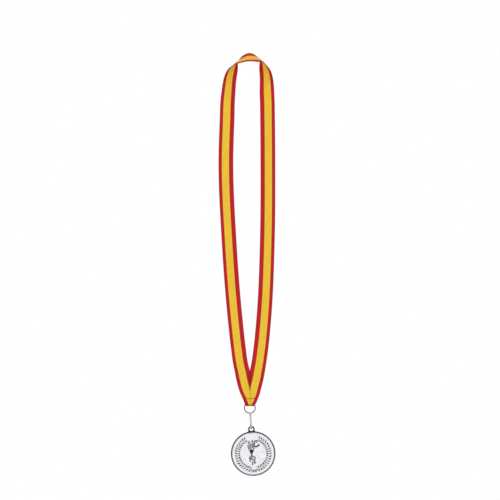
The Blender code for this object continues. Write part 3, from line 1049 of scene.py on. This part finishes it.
    def rounded(self, edge: Array) -> Array:
        """Half the thickness by the distance from a free edge: a quarter round, then a slight cord.

        Args:
            edge: distance from the nearest free edge.

        Returns:
            Half the thickness at each place.
        """
        d = np.clip(edge / self.selvedge, 0, 1)
        quarter = 0.35 + 0.65 * np.sqrt(1 - (1 - d) ** 2)
        return self.half_thick * quarter * (1 + self.cord * bell(edge - 0.5, 0.35))

    def band(self) -> tuple[bpy.types.Object, float]:
        """The whole band as one cloth: the tip's grid and the strands' grid, sewn at the notch row.

        Returns:
            The piece, and the strands' length in millimetres from notch to notch.
        """
        strands, at = self.strands()
        tip, runs, tip_crease_shade, tip_edge = self.tip()
        rows, columns = strands.shape[:2]
        wide = tip.shape[1]
        ends = [tip[0, :columns], tip[0, : columns - 2 : -1]]
        near = self.joined_rows
        fade = (1 - ease(np.arange(near) / near))[:, None, None]
        for end, order in ((0, slice(0, near)), (-1, slice(-1, -near - 1, -1))):
            strands[order] += (ends[end] - strands[end])[None] * fade
        points = np.concatenate([tip.reshape(-1, 3), strands[1:-1].reshape(-1, 3)])
        n_tip = tip.shape[0] * wide
        ids = np.empty((rows, columns), int)
        ids[0], ids[-1] = np.arange(columns), wide - 1 - np.arange(columns)
        ids[1:-1] = n_tip + np.arange((rows - 2) * columns).reshape(rows - 2, columns)
        local_tip = grid_quads(tip.shape[0], wide)[:, [0, 3, 2, 1]]
        local_strand = grid_quads(rows, columns)
        across = np.broadcast_to(self.shares() * self.width, (rows, columns))
        strand_uv = np.stack([np.broadcast_to(at[:, None], (rows, columns)), across], axis=-1).reshape(-1, 2)
        left_uv = (runs * (-1, 1)).reshape(-1, 2)
        right_uv = (runs + (at[-1], 0)).reshape(-1, 2)
        is_left = (local_tip.min(axis=1) % wide < columns - 1)[:, None, None]
        tip_uv = np.where(is_left, left_uv[local_tip], right_uv[local_tip])
        quads = np.concatenate([local_tip, ids.ravel()[local_strand]])
        corner_uv = np.concatenate([tip_uv, strand_uv[local_strand]])
        point_uv = np.concatenate([left_uv, strand_uv.reshape(rows, columns, 2)[1:-1].reshape(-1, 2)])
        to_edge = np.minimum(across, self.width - across)[1:-1].ravel()
        half = self.rounded(np.concatenate([tip_edge.ravel(), to_edge]))
        # painted shade of the creases on the tip; none on the strands
        crease_shade = np.concatenate([tip_crease_shade.ravel(), np.zeros((rows - 2) * columns)])
        shell = thickened(points, quads, half, corner_uv, point_uv)
        return shell.piece("neck_ribbon", masks={"crease_shade": np.r_[crease_shade, crease_shade]}), float(at[-1])

    def turning(self, side: Side, strand_length: float) -> bpy.types.Object:
        """Seam allowance pressed flat behind one side of the mitre, up to its edge or the trim.

        P(s, q) lies q times the allowance's width away from the seam; the width is what is left
        of the band beyond the seam, trimmed, and the free edge lifts by q squared.

        Args:
            side: the half of the tip that it belongs to.
            strand_length: distance between the two notches along the strands.

        Returns:
            The piece.
        """
        up = np.linspace(NOTCH_Z - FOLD_Z - 1.4, self.turning_from, self.turning_rows)
        half = self.half_width(up)
        slant = np.arctan(np.gradient(half, up))
        spare = np.clip(self.width / np.cos(slant) - half + 0.3, 0.35, self.turning_most)
        q = np.r_[0.0, 0.02, 0.06, 0.12, np.linspace(0.2, 0.8, 9), 0.88, 0.94, 0.98, 1.0][None, :]
        x = (0.16 + q * spare[:, None]) * side.value + tip_lean(up)[:, None]
        lift = self.turning_lift * q**2 * (1 + 0.5 * np.sin(up / 2.3))[:, None]
        y = np.broadcast_to(FRONT_Y + 2 * self.half_thick + self.turning_gap + lift, x.shape)
        z = np.broadcast_to((FOLD_Z + up)[:, None], x.shape)
        points = np.stack([x, y, z], axis=-1)
        run = (NOTCH_Z - FOLD_Z - up)[:, None] / np.cos(slant)[:, None]
        v = (half[:, None] + q * spare[:, None]) * np.cos(slant)[:, None]
        past = np.broadcast_to(-run if side is Side.LEFT else strand_length + run, v.shape)
        uv = np.stack([past, v], axis=-1).reshape(-1, 2)
        quads = grid_quads(*x.shape)
        ends = from_ends(self.turning_rows)[:, None] * 0.3
        edge = np.minimum(np.minimum(q, 1 - q) * spare[:, None], ends)
        # painted shade along the seam where the allowance lies against it
        crease_shade = (0.8 * bell(q * spare[:, None], 0.35)).ravel()
        pressed_half = self.rounded(edge).ravel() * 0.9
        shell = thickened(points.reshape(-1, 3), quads, pressed_half, uv[quads], uv)
        name = f"mitre_turning_{side.name.lower()}"
        return shell.piece(name, masks={"crease_shade": np.r_[crease_shade, crease_shade]})

    def build(self) -> list[bpy.types.Object]:
        """Returns:
            The band and the two turnings.
        """
        cloth = RibbonCloth().material()
        band, strand_length = self.band()
        dress(band, cloth, "woven_ribbon", "ribbon", "ribbon")
        sides = [self.turning(side, strand_length) for side in Side]
        turnings = [dress(piece, cloth, "woven_ribbon", "ribbon") for piece in sides]
        return [band, *turnings]


@dataclass
class Stitching:
    """Lock stitch across the tip, in front and behind, and zigzag over the mitre's turnings."""

    radius: float = 0.19
    plies: int = 2
    around: int = 14
    twist_length: float = 2.2
    per_stitch: int = 22
    reach: float = 5.1
    sunk: float = 0.22  # from the hanging plane out to the thread's middle at a stitch hole
    proud: float = 0.40  # how much further out it lies between two holes
    wander: float = 0.05
    zigzag_count: int = 560
    zigzag_pitch: float = 1.5
    zigzag_half: float = 0.85
    zigzag_out: float = 0.90  # behind the middle of the front layer
    zigzag_dip: float = 0.30

    def strand(self, path: Array) -> Shell:
        """A thread along a path: circles of radius * (0.9 + 0.14 cos(plies * (angle - twist))).

        Args:
            path: points of the thread's middle.

        Returns:
            The thread as a closed tube.
        """
        along = unit(np.gradient(path, axis=0))
        side = unit(np.cross(along, (0.0, 1.0, 0.0)))
        out = np.cross(along, side)
        angle = circle(self.around)[None, :]
        twist = (lengths_along(path) * 2 * math.pi / self.twist_length)[:, None]
        reach = self.radius * (0.9 + 0.14 * np.cos(self.plies * (angle - twist)))
        ring = np.cos(angle)[..., None] * side[:, None, :] + np.sin(angle)[..., None] * out[:, None, :]
        return tube(path[:, None, :] + reach[..., None] * ring)

    def cross_path(self, inward: float) -> Array:
        """Stitches side by side: the thread lies out by |sin|^0.4 of the place, sunk at each hole.

        Args:
            inward: +1 for the needle thread in front, -1 for the bobbin thread behind.

        Returns:
            Points of the thread's middle.
        """
        count = int(2 * self.reach / STITCH_LENGTH * self.per_stitch) + 1
        x = np.linspace(-self.reach, self.reach, count)
        lying = np.abs(np.sin(math.pi * x / STITCH_LENGTH)) ** 0.4
        y = HANG_Y - inward * (self.sunk + self.proud * lying)
        slant = self.wander * np.sin(2 * math.pi * x / STITCH_LENGTH)
        return np.stack([x + tip_lean(STITCH_UP), y, FOLD_Z + stitch_height(x) + slant], axis=1)

    def mitre_path(self) -> Array:
        """Zigzag over the seam: x is a triangle wave, and the thread dips where it turns.

        Returns:
            Points of the thread's middle.
        """
        z = np.linspace(NOTCH_Z - 3.6, FOLD_Z + 17.2, self.zigzag_count)
        phase = (z - z[-1]) / self.zigzag_pitch
        x = self.zigzag_half * (2 / math.pi) * np.arcsin(np.sin(2 * math.pi * phase) * 0.985)
        turning = np.abs(np.sin(2 * math.pi * phase)) ** 8
        y = FRONT_Y + self.zigzag_out - self.zigzag_dip * turning
        return np.stack([x + tip_lean(z - FOLD_Z), y, z], axis=1)

    def build(self) -> list[bpy.types.Object]:
        """Makes and dresses the three threads.

        Returns:
            The three threads.
        """
        finish = StitchThread().material()
        rows = (
            ("cross_stitch_needle_row", self.cross_path(1.0), "cross_stitch_needle_thread"),
            ("cross_stitch_bobbin_row", self.cross_path(-1.0), "cross_stitch_bobbin_thread"),
            ("mitre_zigzag", self.mitre_path(), "mitre_seam_thread"),
        )
        made = []
        for name, path, stands_for in rows:
            piece = self.strand(path).piece(name)
            made.append(dress(piece, finish, "sewing_thread", "ribbon", stands_for))
        return made


@dataclass
class RibbonRing:
    """Jump ring of round wire, its butted cut hidden in the ribbon's fold."""

    radius: float = 6.1
    wire: float = 0.55
    cut_deg: float = 1.4
    pinch: float = 0.12
    steps: int = 260
    around: int = 24

    def shell(self) -> Shell:
        """Circles of the wire's radius carried round the ring, slightly pinched at the cut ends.

        Returns:
            The ring as a closed tube.
        """
        turn = np.radians(np.linspace(90 + self.cut_deg, 450 - self.cut_deg, self.steps))[:, None]
        b = circle(self.around)[None, :]
        wire = self.wire * (1 - self.pinch * bell(from_ends(self.steps)[:, None], 2.0))
        reach = self.radius + wire * np.cos(b)
        x, z = reach * np.cos(turn), RING_Z + reach * np.sin(turn)
        return tube(np.stack([x, HANG_Y + wire * np.sin(b) + 0 * turn, z], axis=-1))

    def build(self) -> list[bpy.types.Object]:
        """Makes and dresses the ring.

        Returns:
            The ring alone in a list.
        """
        finish = PlatedWire("ring_wire", (0.105, 0.10, 0.105), (0.04, 0.036, 0.034), 0.22, 0.45).material()
        ring = self.shell().piece("ribbon_jump_ring", CRISP_DEG)
        return [dress(ring, finish, "ring_wire", "ribbon_ring", "ribbon_ring")]


@dataclass
class SplitRing:
    """Split ring of flat wire: two coils side by side, with one step from coil to coil."""

    outer: float = 10.0
    radial: float = 1.4
    axial: float = 1.1
    gap: float = 0.1
    corner: float = 0.32
    start_deg: float = 192.0
    step_deg: float = 25.0
    chamfer: float = 0.30
    steps: int = 460

    def shell(self) -> Shell:
        """A rounded box section carried round nearly two turns, set over sideways by a smooth step.

        Returns:
            Both coils as one closed tube.
        """
        turn = np.linspace(self.step_deg, 720 - self.step_deg, self.steps)
        lane = (self.axial + self.gap) / 2
        step = lane * (2 * ease((turn - 360 + self.step_deg) / (2 * self.step_deg)) - 1)
        angle = np.radians(turn + self.start_deg)[:, None]
        section = box_section(self.radial / 2, self.axial / 2, self.corner, 5)
        full = (1 - self.chamfer * bell(from_ends(self.steps), 1.6))[:, None]
        reach = self.outer - self.radial / 2 + section[:, 0] * full
        side = step[:, None] + section[:, 1] * full
        y, z = HANG_Y + reach * np.cos(angle), COIL_Z + reach * np.sin(angle)
        return tube(leaned(np.stack([side, y, z], axis=-1)))

    def build(self) -> list[bpy.types.Object]:
        """Makes and dresses the split ring.

        Returns:
            The ring alone in a list.
        """
        finish = PlatedWire("split_ring_wire", (0.74, 0.73, 0.77), (0.36, 0.35, 0.36), 0.26, 0.35).material()
        coils = self.shell().piece("split_ring_coils", CRISP_DEG)
        return [dress(coils, finish, "ring_wire", "split_ring", "split_ring")]


def polar(radius: float, angle: float) -> tuple[float, float]:
    """The place at a radius and an angle from the middle."""
    return radius * math.cos(angle), radius * math.sin(angle)


class Relief:
    """The medal's struck face as heights and darkness over places (u, v), right and up from its middle."""

    def __init__(self, u: Array, v: Array) -> None:
        """Starts from a flat field.

        Args:
            u: places to the right of the middle.
            v: places up from the middle.
        """
        self.u, self.v = u, v
        self.height = np.zeros_like(u)
        self.wax_and_dark_reflection = np.zeros_like(u)

    def raise_by(self, inside: Array, height: float, wax_and_dark_reflection: float, outline: float, soft: float) -> None:
        """Raises a shape with a round shoulder, height * sqrt(t (2 - t)) by t from 0 to 1, and darkens it.

        Args:
            inside: distance inside the shape's outline, negative outside.
            height: height of its crown over the field.
            wax_and_dark_reflection: darkness left on the shape itself.
            outline: darkness left along its foot.
            soft: distance inside over which t goes from 0 to 1.
        """
        t = np.clip(inside / soft, 0, 1)
        self.height = np.maximum(self.height, height * np.sqrt(t * (2 - t)))
        body = ease((inside + 0.15) / 0.2)
        self.wax_and_dark_reflection = np.maximum(self.wax_and_dark_reflection * (1 - body), body * wax_and_dark_reflection)
        self.wax_and_dark_reflection = np.maximum(self.wax_and_dark_reflection, outline * bell(inside + 0.20, 0.30))

    def groove(self, line: Sequence[tuple[float, float, float]], depth: float) -> None:
        """Sinks the height by a depth along a brush line, with a smooth step at its sides."""
        self.height -= depth * ease((self.stroke(line) + 0.12) / 0.15)

    def stroke(self, line: Sequence[tuple[float, float, float]]) -> Array:
        """Distance inside a brush line: the greatest of radius(t) - distance over its stretches.

        Args:
            line: places and half widths (u, v, half width).

        Returns:
            Distance inside the line, negative outside.
        """
        inside = np.full_like(self.u, -99.0)
        for (u0, v0, r0), (u1, v1, r1) in zip(line, line[1:]):
            du, dv = u1 - u0, v1 - v0
            t = np.clip(((self.u - u0) * du + (self.v - v0) * dv) / (du * du + dv * dv), 0, 1)
            away = np.hypot(self.u - u0 - t * du, self.v - v0 - t * dv)
            inside = np.maximum(inside, r0 + (r1 - r0) * t - away)
        return inside

    def leaf(self, root: tuple[float, float], heading: float, length: float, half: float) -> Array:
        """Distance inside a pointed leaf: half * sin(pi t^0.8) less the distance from its midrib.

        Args:
            root: where the leaf grows from.
            heading: the angle that it points at.
            length: its length.
            half: half its greatest width.

        Returns:
            Distance inside the leaf, negative outside.
        """
        du, dv = self.u - root[0], self.v - root[1]
        t = (du * math.cos(heading) + dv * math.sin(heading)) / length
        across = np.abs(-du * math.sin(heading) + dv * math.cos(heading))
        t_in = np.clip(t, 0, 1)
        beyond = np.abs(t - t_in) * length
        return half * np.sin(math.pi * t_in**0.8) - across - beyond


@dataclass
class Medal:
    """Struck disc with raised rims, a laurel wreath, a torch with a bow, and a pierced lug."""

    radius: float = 25.0
    thick: float = 3.0
    rim_inner: float = 23.3
    front_recess: float = 0.6
    back_recess: float = 0.4
    back_radius: float = 19.0
    hole_up: float = 27.5
    lug_radius: float = 3.7
    hole_radius: float = 2.1
    lug_thick: float = 2.2
    lug_corner: float = 0.42
    lug_steps: int = 240
    fillet: float = 1.6
    face_steps: int = 600
    face_rings: int = 142
    face_tuck: float = 0.25  # how far the face reaches in under the rim
    face_foot: float = 0.9  # how far its edge goes down inside the disc
    disc_steps: int = 360
    disc_crisp_deg: float = 60.0
    leaf_pairs: int = 17
    leaf_rows: tuple[tuple[float, float], ...] = ((17.3, -1.0), (18.0, 1.0))  # radius, in -1 or out 1
    leaf_length: float = 3.1
    leaf_half: float = 0.95
    gap_half: float = 0.60
    wreath_from: float = 10.0  # degrees from the foot
    wreath_to: float = 149.0

    def placed(self, u: Array, v: Array, out: Array) -> Array:
        """Points in the hanging medal's place: (u, HANG_Y - out, v below the lug's hole), leaned."""
        u, v, out = np.broadcast_arrays(u, v, out)
        return leaned(np.stack([u, HANG_Y - out, HOLE_Z - self.hole_up + v], axis=-1))

    def wreath(self, relief: Relief) -> None:
        """Two branches of paired leaves with dark gaps between them, from crossed stems up.

        Pair i stands at an even step of the angle from the foot; its leaves turn in and out from
        the branch by 1.06 radians, and each varies by a small sine of its number.
        """
        for side in Side:
            self.branch(relief, side.value)

    def branch(self, relief: Relief, side: int) -> None:
        """One branch: its leaves with their ribs, then the gaps cut between them, then its stem.

        Args:
            relief: the relief to work on.
            side: -1 for the left branch, 1 for the right one.
        """
        gaps = []
        spread = self.wreath_to - self.wreath_from
        half_pitch = math.radians(spread / (self.leaf_pairs - 1) / 2)
        for i in range(self.leaf_pairs):
            share = i / (self.leaf_pairs - 1)
            angle = math.radians(-90 + side * (self.wreath_from + share * spread))
            for radius, away in self.leaf_rows:
                wobble = 0.10 * math.sin(5.1 * i + 2.0 * away + side)
                root = polar(radius + wobble, angle)
                heading = angle + side * math.pi / 2 - side * away * (1.06 + 0.6 * wobble)
                length = self.leaf_length * (1 - 0.22 * share**6) + wobble
                leaf = relief.leaf(root, heading, length, self.leaf_half)
                relief.raise_by(leaf, 0.42, 0.0, 0.30, 0.40)
                tip = np.add(root, polar(length * 0.8, heading))
                rib = relief.stroke([(*root, 0.07), (*tip, 0.03)])
                relief.height += 0.05 * ease((rib + 0.1) / 0.15)
                between = polar(radius + wobble, angle + side * half_pitch)
                gaps.append((between, heading + side * half_pitch, self.gap_half + wobble))
        for root, heading, half in gaps:
            swelling = ((0.5, half * 0.6), (1.5, half), (2.9, half * 0.4))
            line = [(*np.add(root, polar(far, heading)), wide) for far, wide in swelling]
            cut = ease((relief.stroke(line) + 0.12) / 0.2)
            relief.height = relief.height * (1 - cut) - 0.10 * cut
            relief.wax_and_dark_reflection = np.maximum(relief.wax_and_dark_reflection, cut)
        bent = ((20.3, -5.5, 0.34), (18.9, 4.0, 0.30), (18.3, 12.0, 0.22))
        stem = [(*polar(radius, math.radians(-90 + side * turn)), half) for radius, turn, half in bent]
        relief.raise_by(relief.stroke(stem), 0.40, 0.75, 0.60, 0.3)

    def torch(self, relief: Relief) -> None:
        """Torch with flame licks, a flared and fluted cup, a short handle and a bow with three tails.

        Each brush line is places and half widths (u, v, half width), with the darkness painted on it.

        Args:
            relief: the relief to work on.
        """
        flames = (
            ([(-4.6, 11.9, 0.42), (-3.9, 13.1, 0.42), (-2.9, 14.3, 0.14)], 1.0),
            ([(-0.4, 13.2, 0.46), (0.2, 14.0, 0.44), (0.9, 15.0, 0.14)], 1.0),
            (
                [
                    (2.0, 9.8, 0.44), (2.2, 12.0, 0.44), (2.9, 13.9, 0.42),
                    (4.3, 14.5, 0.34), (5.5, 13.8, 0.22),
                ],
                0.95,
            ),
            ([(5.7, 13.0, 0.20), (4.9, 12.4, 0.34), (4.2, 12.8, 0.20)], 0.75),
            (
                [
                    (1.2, 8.6, 0.50), (2.6, 7.9, 0.52), (4.3, 7.6, 0.52),
                    (6.0, 8.2, 0.60), (7.2, 9.2, 0.50), (6.2, 9.9, 0.25),
                ],
                1.0,
            ),
            ([(-2.2, 9.0, 0.42), (-1.6, 10.3, 0.50), (-2.3, 11.9, 0.18)], 0.85),
            ([(0.2, 9.4, 0.46), (0.7, 10.8, 0.46), (0.2, 12.2, 0.16)], 0.90),
            ([(-0.9, 6.6, 0.40), (-0.5, 8.0, 0.46), (-1.0, 9.4, 0.18)], 0.80),
            ([(-3.0, 6.4, 0.34), (-3.1, 7.8, 0.38), (-3.9, 9.2, 0.40), (-3.4, 10.6, 0.18)], 0.70),
            ([(-5.0, 7.4, 0.40), (-5.3, 8.7, 0.46), (-5.0, 10.0, 0.20)], 0.80),
            ([(-4.2, 5.0, 0.42), (-4.5, 6.2, 0.36), (-3.9, 7.1, 0.16)], 0.95),
            ([(1.0, 5.2, 0.44), (1.4, 6.4, 0.42), (0.9, 7.5, 0.20)], 0.90),
            ([(-2.0, 5.0, 0.30), (-1.6, 6.1, 0.34), (-2.2, 7.2, 0.16)], 0.65),
        )
        for line, wax_and_dark_reflection in flames:
            relief.raise_by(relief.stroke(line), 0.38, wax_and_dark_reflection, 0.50, 0.45)
        cup = relief.stroke([(-1.85, 0.0, 0.45), (-1.85, 0.8, 0.80), (-1.75, 1.8, 1.40), (-1.65, 2.5, 1.75)])
        lip = relief.stroke([(-3.2, 3.6, 0.50), (0.2, 3.5, 0.50)])
        web = relief.stroke([(-2.9, 3.1, 0.5), (-1.7, 2.3, 1.2), (-0.2, 3.1, 0.5)])
        relief.raise_by(np.maximum(np.maximum(cup, lip), web), 0.55, 1.0, 1.0, 0.7)
        for shift in (-0.9, 0.0, 0.9):
            relief.groove([(-1.85 + shift * 0.4, 0.4, 0.02), (-1.75 + shift, 2.9, 0.10)], 0.12)
        relief.raise_by(relief.stroke([(-1.85, 0.4, 0.52), (-1.75, -2.6, 0.56)]), 0.42, 0.80, 0.9, 0.5)
        loop = np.hypot((relief.u + 3.10) / 1.55, (relief.v + 4.85) / 1.70)
        relief.raise_by((1 - loop) * 1.5, 0.42, 0.80, 0.8, 0.6)
        ring = np.hypot((relief.u + 0.10) / 1.85, (relief.v + 5.25) / 1.75)
        relief.raise_by(0.30 - np.abs(1 - ring) * 1.6, 0.34, 0.70, 0.7, 0.3)
        relief.raise_by(relief.stroke([(-1.7, -3.6, 0.42), (-1.6, -5.0, 0.40)]), 0.48, 0.35, 0.70, 0.4)
        tails = (
            ([(-3.2, -6.4, 0.34), (-4.1, -7.2, 0.40), (-3.9, -8.4, 0.20)], 0.75),
            ([(-1.4, -9.2, 0.25), (-1.4, -10.6, 0.36), (-1.6, -12.5, 0.24)], 0.75),
            ([(0.9, -6.8, 0.30), (0.9, -8.6, 0.44), (0.8, -10.4, 0.44), (1.9, -10.5, 0.24)], 0.85),
        )
        for line, wax_and_dark_reflection in tails:
            relief.raise_by(relief.stroke(line), 0.30, wax_and_dark_reflection, 0.75, 0.35)

    def face(self) -> bpy.types.Object:
        """The struck field on rings of points, raised over the recess by the relief and a dished edge.

        Returns:
            The piece, a closed plate whose underside lies inside the disc.
        """
        half = self.thick / 2
        share = np.linspace(0, 1, self.face_rings)[1:]
        r = (self.rim_inner + self.face_tuck) * share[:, None]
        angle = circle(self.face_steps)[None, :]
        u, v = r * np.cos(angle), r * np.sin(angle)
        relief = Relief(np.r_[0.0, u.ravel()], np.r_[0.0, v.ravel()])
        self.wreath(relief)
        self.torch(relief)
        outer = np.hypot(relief.u, relief.v)
        dish = 0.10 * ease((outer - 21.8) / 1.6)
        relief.wax_and_dark_reflection = np.maximum(relief.wax_and_dark_reflection, 0.25 * bell(outer - self.rim_inner + 0.1, 0.25))
        top = self.placed(relief.u, relief.v, half - self.front_recess + relief.height + dish)
        rim = top[-self.face_steps :] + (0.0, self.face_foot, 0.0)
        points = np.concatenate([top, rim])
        rings = grid_quads(self.face_rings, self.face_steps, wrap_columns=True) + 1
        first = np.arange(self.face_steps)
        fan = np.stack([0 * first, first + 1, (first + 1) % self.face_steps + 1], axis=1)
        foot = 1 + (self.face_rings - 1) * self.face_steps + first
        shell = Shell(points, rings, [foot, *fan[:, ::-1]])
        frost = np.r_[1 - ease(relief.height / 0.12), np.zeros(self.face_steps)]
        wax_and_dark_reflection = np.r_[relief.wax_and_dark_reflection, np.zeros(self.face_steps)]
        return shell.piece("medal_face", masks={"wax_and_dark_reflection": wax_and_dark_reflection, "frost": frost})

    def disc(self) -> bpy.types.Object:
        """The disc turned from its profile r(s), out(s): rims, bevels, edge and the sunk back.

        Each row of the profile is a radius, a place out from the middle of the thickness and
        the darkness there: waxing in the hollows, painted dark reflection on the outer bevel and edge.

        Returns:
            The piece.
        """
        half = self.thick / 2
        floor = -half + self.back_recess
        profile = np.array([
            (self.rim_inner, half - self.front_recess - 0.2, 0.3),
            (self.rim_inner + 0.10, half - 0.28, 0.35),
            (self.rim_inner + 0.22, half - 0.10, 0.0),
            (self.rim_inner + 0.38, half, 0.0),
            # painted dark reflection: the rim's outer bevel and the edge are painted nearly black
            (self.radius - 1.36, half, 0.20),
            (self.radius - 1.18, half - 0.07, 0.96),
            (self.radius - 0.20, half - 0.74, 1.0),
            (self.radius, half - 0.95, 1.0),
            (self.radius, -half + 0.60, 0.80),
            (self.radius - 0.14, -half + 0.30, 0.40),
            (self.radius - 0.50, -half + 0.06, 0.25),
            (self.radius - 0.90, -half, 0.0),
            (self.back_radius + 0.55, -half, 0.0),
            (self.back_radius + 0.35, -half + 0.07, 0.15),
            (self.back_radius + 0.08, floor, 0.60),
            (self.back_radius - 0.25, floor, 0.45),
            (self.back_radius - 0.55, floor - 0.02, 0.05),
            (self.back_radius - 0.75, floor - 0.16, 0.0),
            (self.back_radius - 0.95, floor - 0.16, 0.0),
            (self.back_radius - 1.15, floor - 0.02, 0.10),
            (self.back_radius - 1.35, floor, 0.35),
            (self.back_radius - 2.2, floor, 0.02),
            (0.5 * self.back_radius, floor + 0.03, 0.0),
        ])
        s = lengths_along(profile[:, :2])
        fine = np.unique(np.r_[s, np.linspace(0, s[-1], 70)])
        r, out, wax_and_dark_reflection = (np.interp(fine, s, column) for column in profile.T)
        count = self.disc_steps
        angle = circle(count)[None, :]
        u, v = r[:, None] * np.cos(angle), r[:, None] * np.sin(angle)
        first = np.arange(count)
        caps = [first[::-1], (len(r) - 1) * count + first]
        quads = grid_quads(len(r), count, wrap_columns=True)
        shell = Shell(self.placed(u, v, out[:, None]).reshape(-1, 3), quads, caps)
        frosted = 0.5 * ((r < self.back_radius - 1.4) & (out < 0))
        masks = {"wax_and_dark_reflection": np.repeat(wax_and_dark_reflection, count), "frost": np.repeat(frosted, count)}
        return shell.piece("medal_disc", self.disc_crisp_deg, masks)

    def lug_outline(self, angle: Array) -> Array:
        """How far the lug reaches from its hole's middle at each angle.

        Round above; below, two fillets that are tangent to the lug and to the disc; then a foot
        inside the disc.

        Args:
            angle: angles round the hole, from the right.

        Returns:
            Distances from the middle of the hole.
        """
        ru, rf = self.radius + self.fillet, self.lug_radius + self.fillet
        cv = (ru**2 - rf**2 + self.hole_up**2) / (2 * self.hole_up)
        cu = math.sqrt(ru**2 - cv**2)
        toward_lug = math.atan2(self.hole_up - cv, -cu)
        toward_disc = math.atan2(-cv, -cu) % (2 * math.pi)
        arc = np.linspace(toward_lug, toward_disc, 24)
        u = np.r_[cu + self.fillet * np.cos(arc), 4.5, 3.2, 0.0]
        v = np.r_[cv + self.fillet * np.sin(arc) - self.hole_up, -4.0, -4.4, -4.4]
        turn = np.degrees(np.arctan2(v, u))
        reach = np.hypot(u, v)
        below = -90 + np.abs((np.degrees(angle) + 90 + 180) % 360 - 180)
        return np.where(below > turn[0], self.lug_radius, np.interp(below, turn[::-1], reach[::-1]))

    def lug(self) -> bpy.types.Object:
        """A box section with round corners between the hole and the outline, carried round the hole.

        The section's inner half keeps its distance from the hole, and its outer half from the
        outline.

        Returns:
            The piece.
        """
        angle = circle(self.lug_steps)[:, None]
        section = box_section(1.0, self.lug_thick / 2, self.lug_corner, 6)
        side = section[:, 0]
        reach = self.lug_outline(angle[:, 0])[:, None]
        r = np.where(side < 0, self.hole_radius + 1 + side, reach - (1 - side))
        points = self.placed(r * np.cos(angle), self.hole_up + r * np.sin(angle), section[None, :, 1])
        flat = np.abs(section[:, 1]) / (self.lug_thick / 2)
        # the lug is painted dark all over, slightly less on its flat faces
        wax_and_dark_reflection = np.broadcast_to(1.0 - 0.03 * ease((flat - 0.8) / 0.2), r.shape).ravel()
        masks = {"wax_and_dark_reflection": wax_and_dark_reflection, "frost": np.zeros(wax_and_dark_reflection.shape)}
        return tube(points, closed=True).piece("medal_lug", CRISP_DEG, masks)

    def build(self) -> list[bpy.types.Object]:
        """Makes and dresses the disc, its struck face and its lug.

        Returns:
            The disc, its face and its lug.
        """
        finish = AntiqueSilver().material()
        disc = dress(self.disc(), finish, "medal_silver", "medal", "medal")
        others = [dress(piece, finish, "medal_silver", "medal") for piece in (self.face(), self.lug())]
        return [disc, *others]


@dataclass
class Studio:
    """Camera, soft lights, white surround and a pale floor; sizes in metres."""

    distance: float = 2.5
    frame_width: float = 0.5618
    centre: tuple[float, float] = (0.0002, -0.2166)
    sensor: float = 36.0
    aim: tuple[float, float, float] = (0.0, 0.0, -0.25)
    floor_z: float = -0.60
    floor_reach: float = 1.24
    floor_corners: int = 96

    def camera(self) -> None:
        """A long lens, level, straight at the front."""
        data = bpy.data.cameras.new("long_lens")
        data.sensor_width = self.sensor
        data.lens = self.sensor * self.distance / self.frame_width
        data.clip_end = 50.0
        obj = bpy.data.objects.new("camera", data)
        obj.location = (self.centre[0], HANG_Y * MM - self.distance, self.centre[1])
        obj.rotation_euler = (math.pi / 2, 0.0, 0.0)
        bpy.context.scene.collection.objects.link(obj)
        bpy.context.scene.camera = obj

    def lamp(self, name: str, place: tuple[float, float, float], power: float, size: float) -> None:
        """A square soft light aimed at the middle of the object.

        Args:
            name: the light's name.
            place: where it stands.
            power: its power in watts.
            size: the length of its side.
        """
        data = bpy.data.lights.new(name, "AREA")
        data.energy, data.size = power, size
        obj = bpy.data.objects.new(name, data)
        obj.location = place
        aim = Vector(self.aim) - Vector(place)
        obj.rotation_euler = aim.to_track_quat("-Z", "Y").to_euler()
        bpy.context.scene.collection.objects.link(obj)

    def surround(self) -> None:
        """White to the camera; as light, brighter ahead, above and behind than at the sides and below."""
        world = bpy.data.worlds.new("studio_surround")
        bpy.context.scene.world = world
        world.use_nodes = True
        bench = Bench(world.node_tree)
        split = bench.add("SeparateXYZ", {0: bench.add("TexCoord").outputs["Generated"]})
        _, y, z = split.outputs
        ahead = bench.span(bench.math("MULTIPLY", y, -1.0), 0.35, 0.95, 0.0, 0.50)
        above = bench.span(z, 0.35, 0.95, 0.0, 0.45)
        behind = bench.span(y, 0.30, 0.90, 0.0, 0.45)
        around = bench.math("ADD", behind, 0.40)
        total = bench.math("ADD", bench.math("ADD", ahead, above), around)
        background = world.node_tree.nodes["Background"]
        background.inputs["Color"].default_value = (1.0, 1.0, 1.0, 1.0)
        seen = bench.add("LightPath").outputs["Is Camera Ray"]
        strength = bench.add("Mix", {0: seen, 2: total, 3: 1.0}, data_type="FLOAT").outputs[0]
        bench.put(background.inputs["Strength"], strength)

    def floor(self) -> None:
        """A round pale floor, one flat face with its corners on a circle."""
        angle = circle(self.floor_corners)
        paint = FloorPaint()
        x = self.floor_reach * np.cos(angle)
        y = paint.centre_y + self.floor_reach * np.sin(angle)
        corners = np.stack([x, y, np.full_like(x, self.floor_z)], axis=1)
        mesh = bpy.data.meshes.new("floor")
        mesh.from_pydata(corners.tolist(), [], [list(range(self.floor_corners))])
        obj = bpy.data.objects.new("floor", mesh)
        bpy.context.scene.collection.objects.link(obj)
        obj.data.materials.append(paint.material())

    def build(self) -> None:
        """Sets up the whole studio."""
        bpy.context.scene.view_settings.view_transform = "Standard"
        self.camera()
        self.surround()
        self.lamp("key_light", (0.9, -1.7, 0.75), 7.2, 0.9)
        self.lamp("fill_light", (-1.2, -1.5, -0.35), 4.4, 1.0)
        self.lamp("rear_light", (0.3, 1.6, 0.8), 8.0, 1.0)
        self.floor()


def main() -> None:
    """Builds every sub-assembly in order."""
    logging.basicConfig(level=logging.INFO, format="%(name)s: %(message)s")
    Studio().build()
    for maker in (NeckRibbon(), Stitching(), RibbonRing(), SplitRing(), Medal()):
        for piece in maker.build():
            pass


if __name__ == "__main__":
    main()
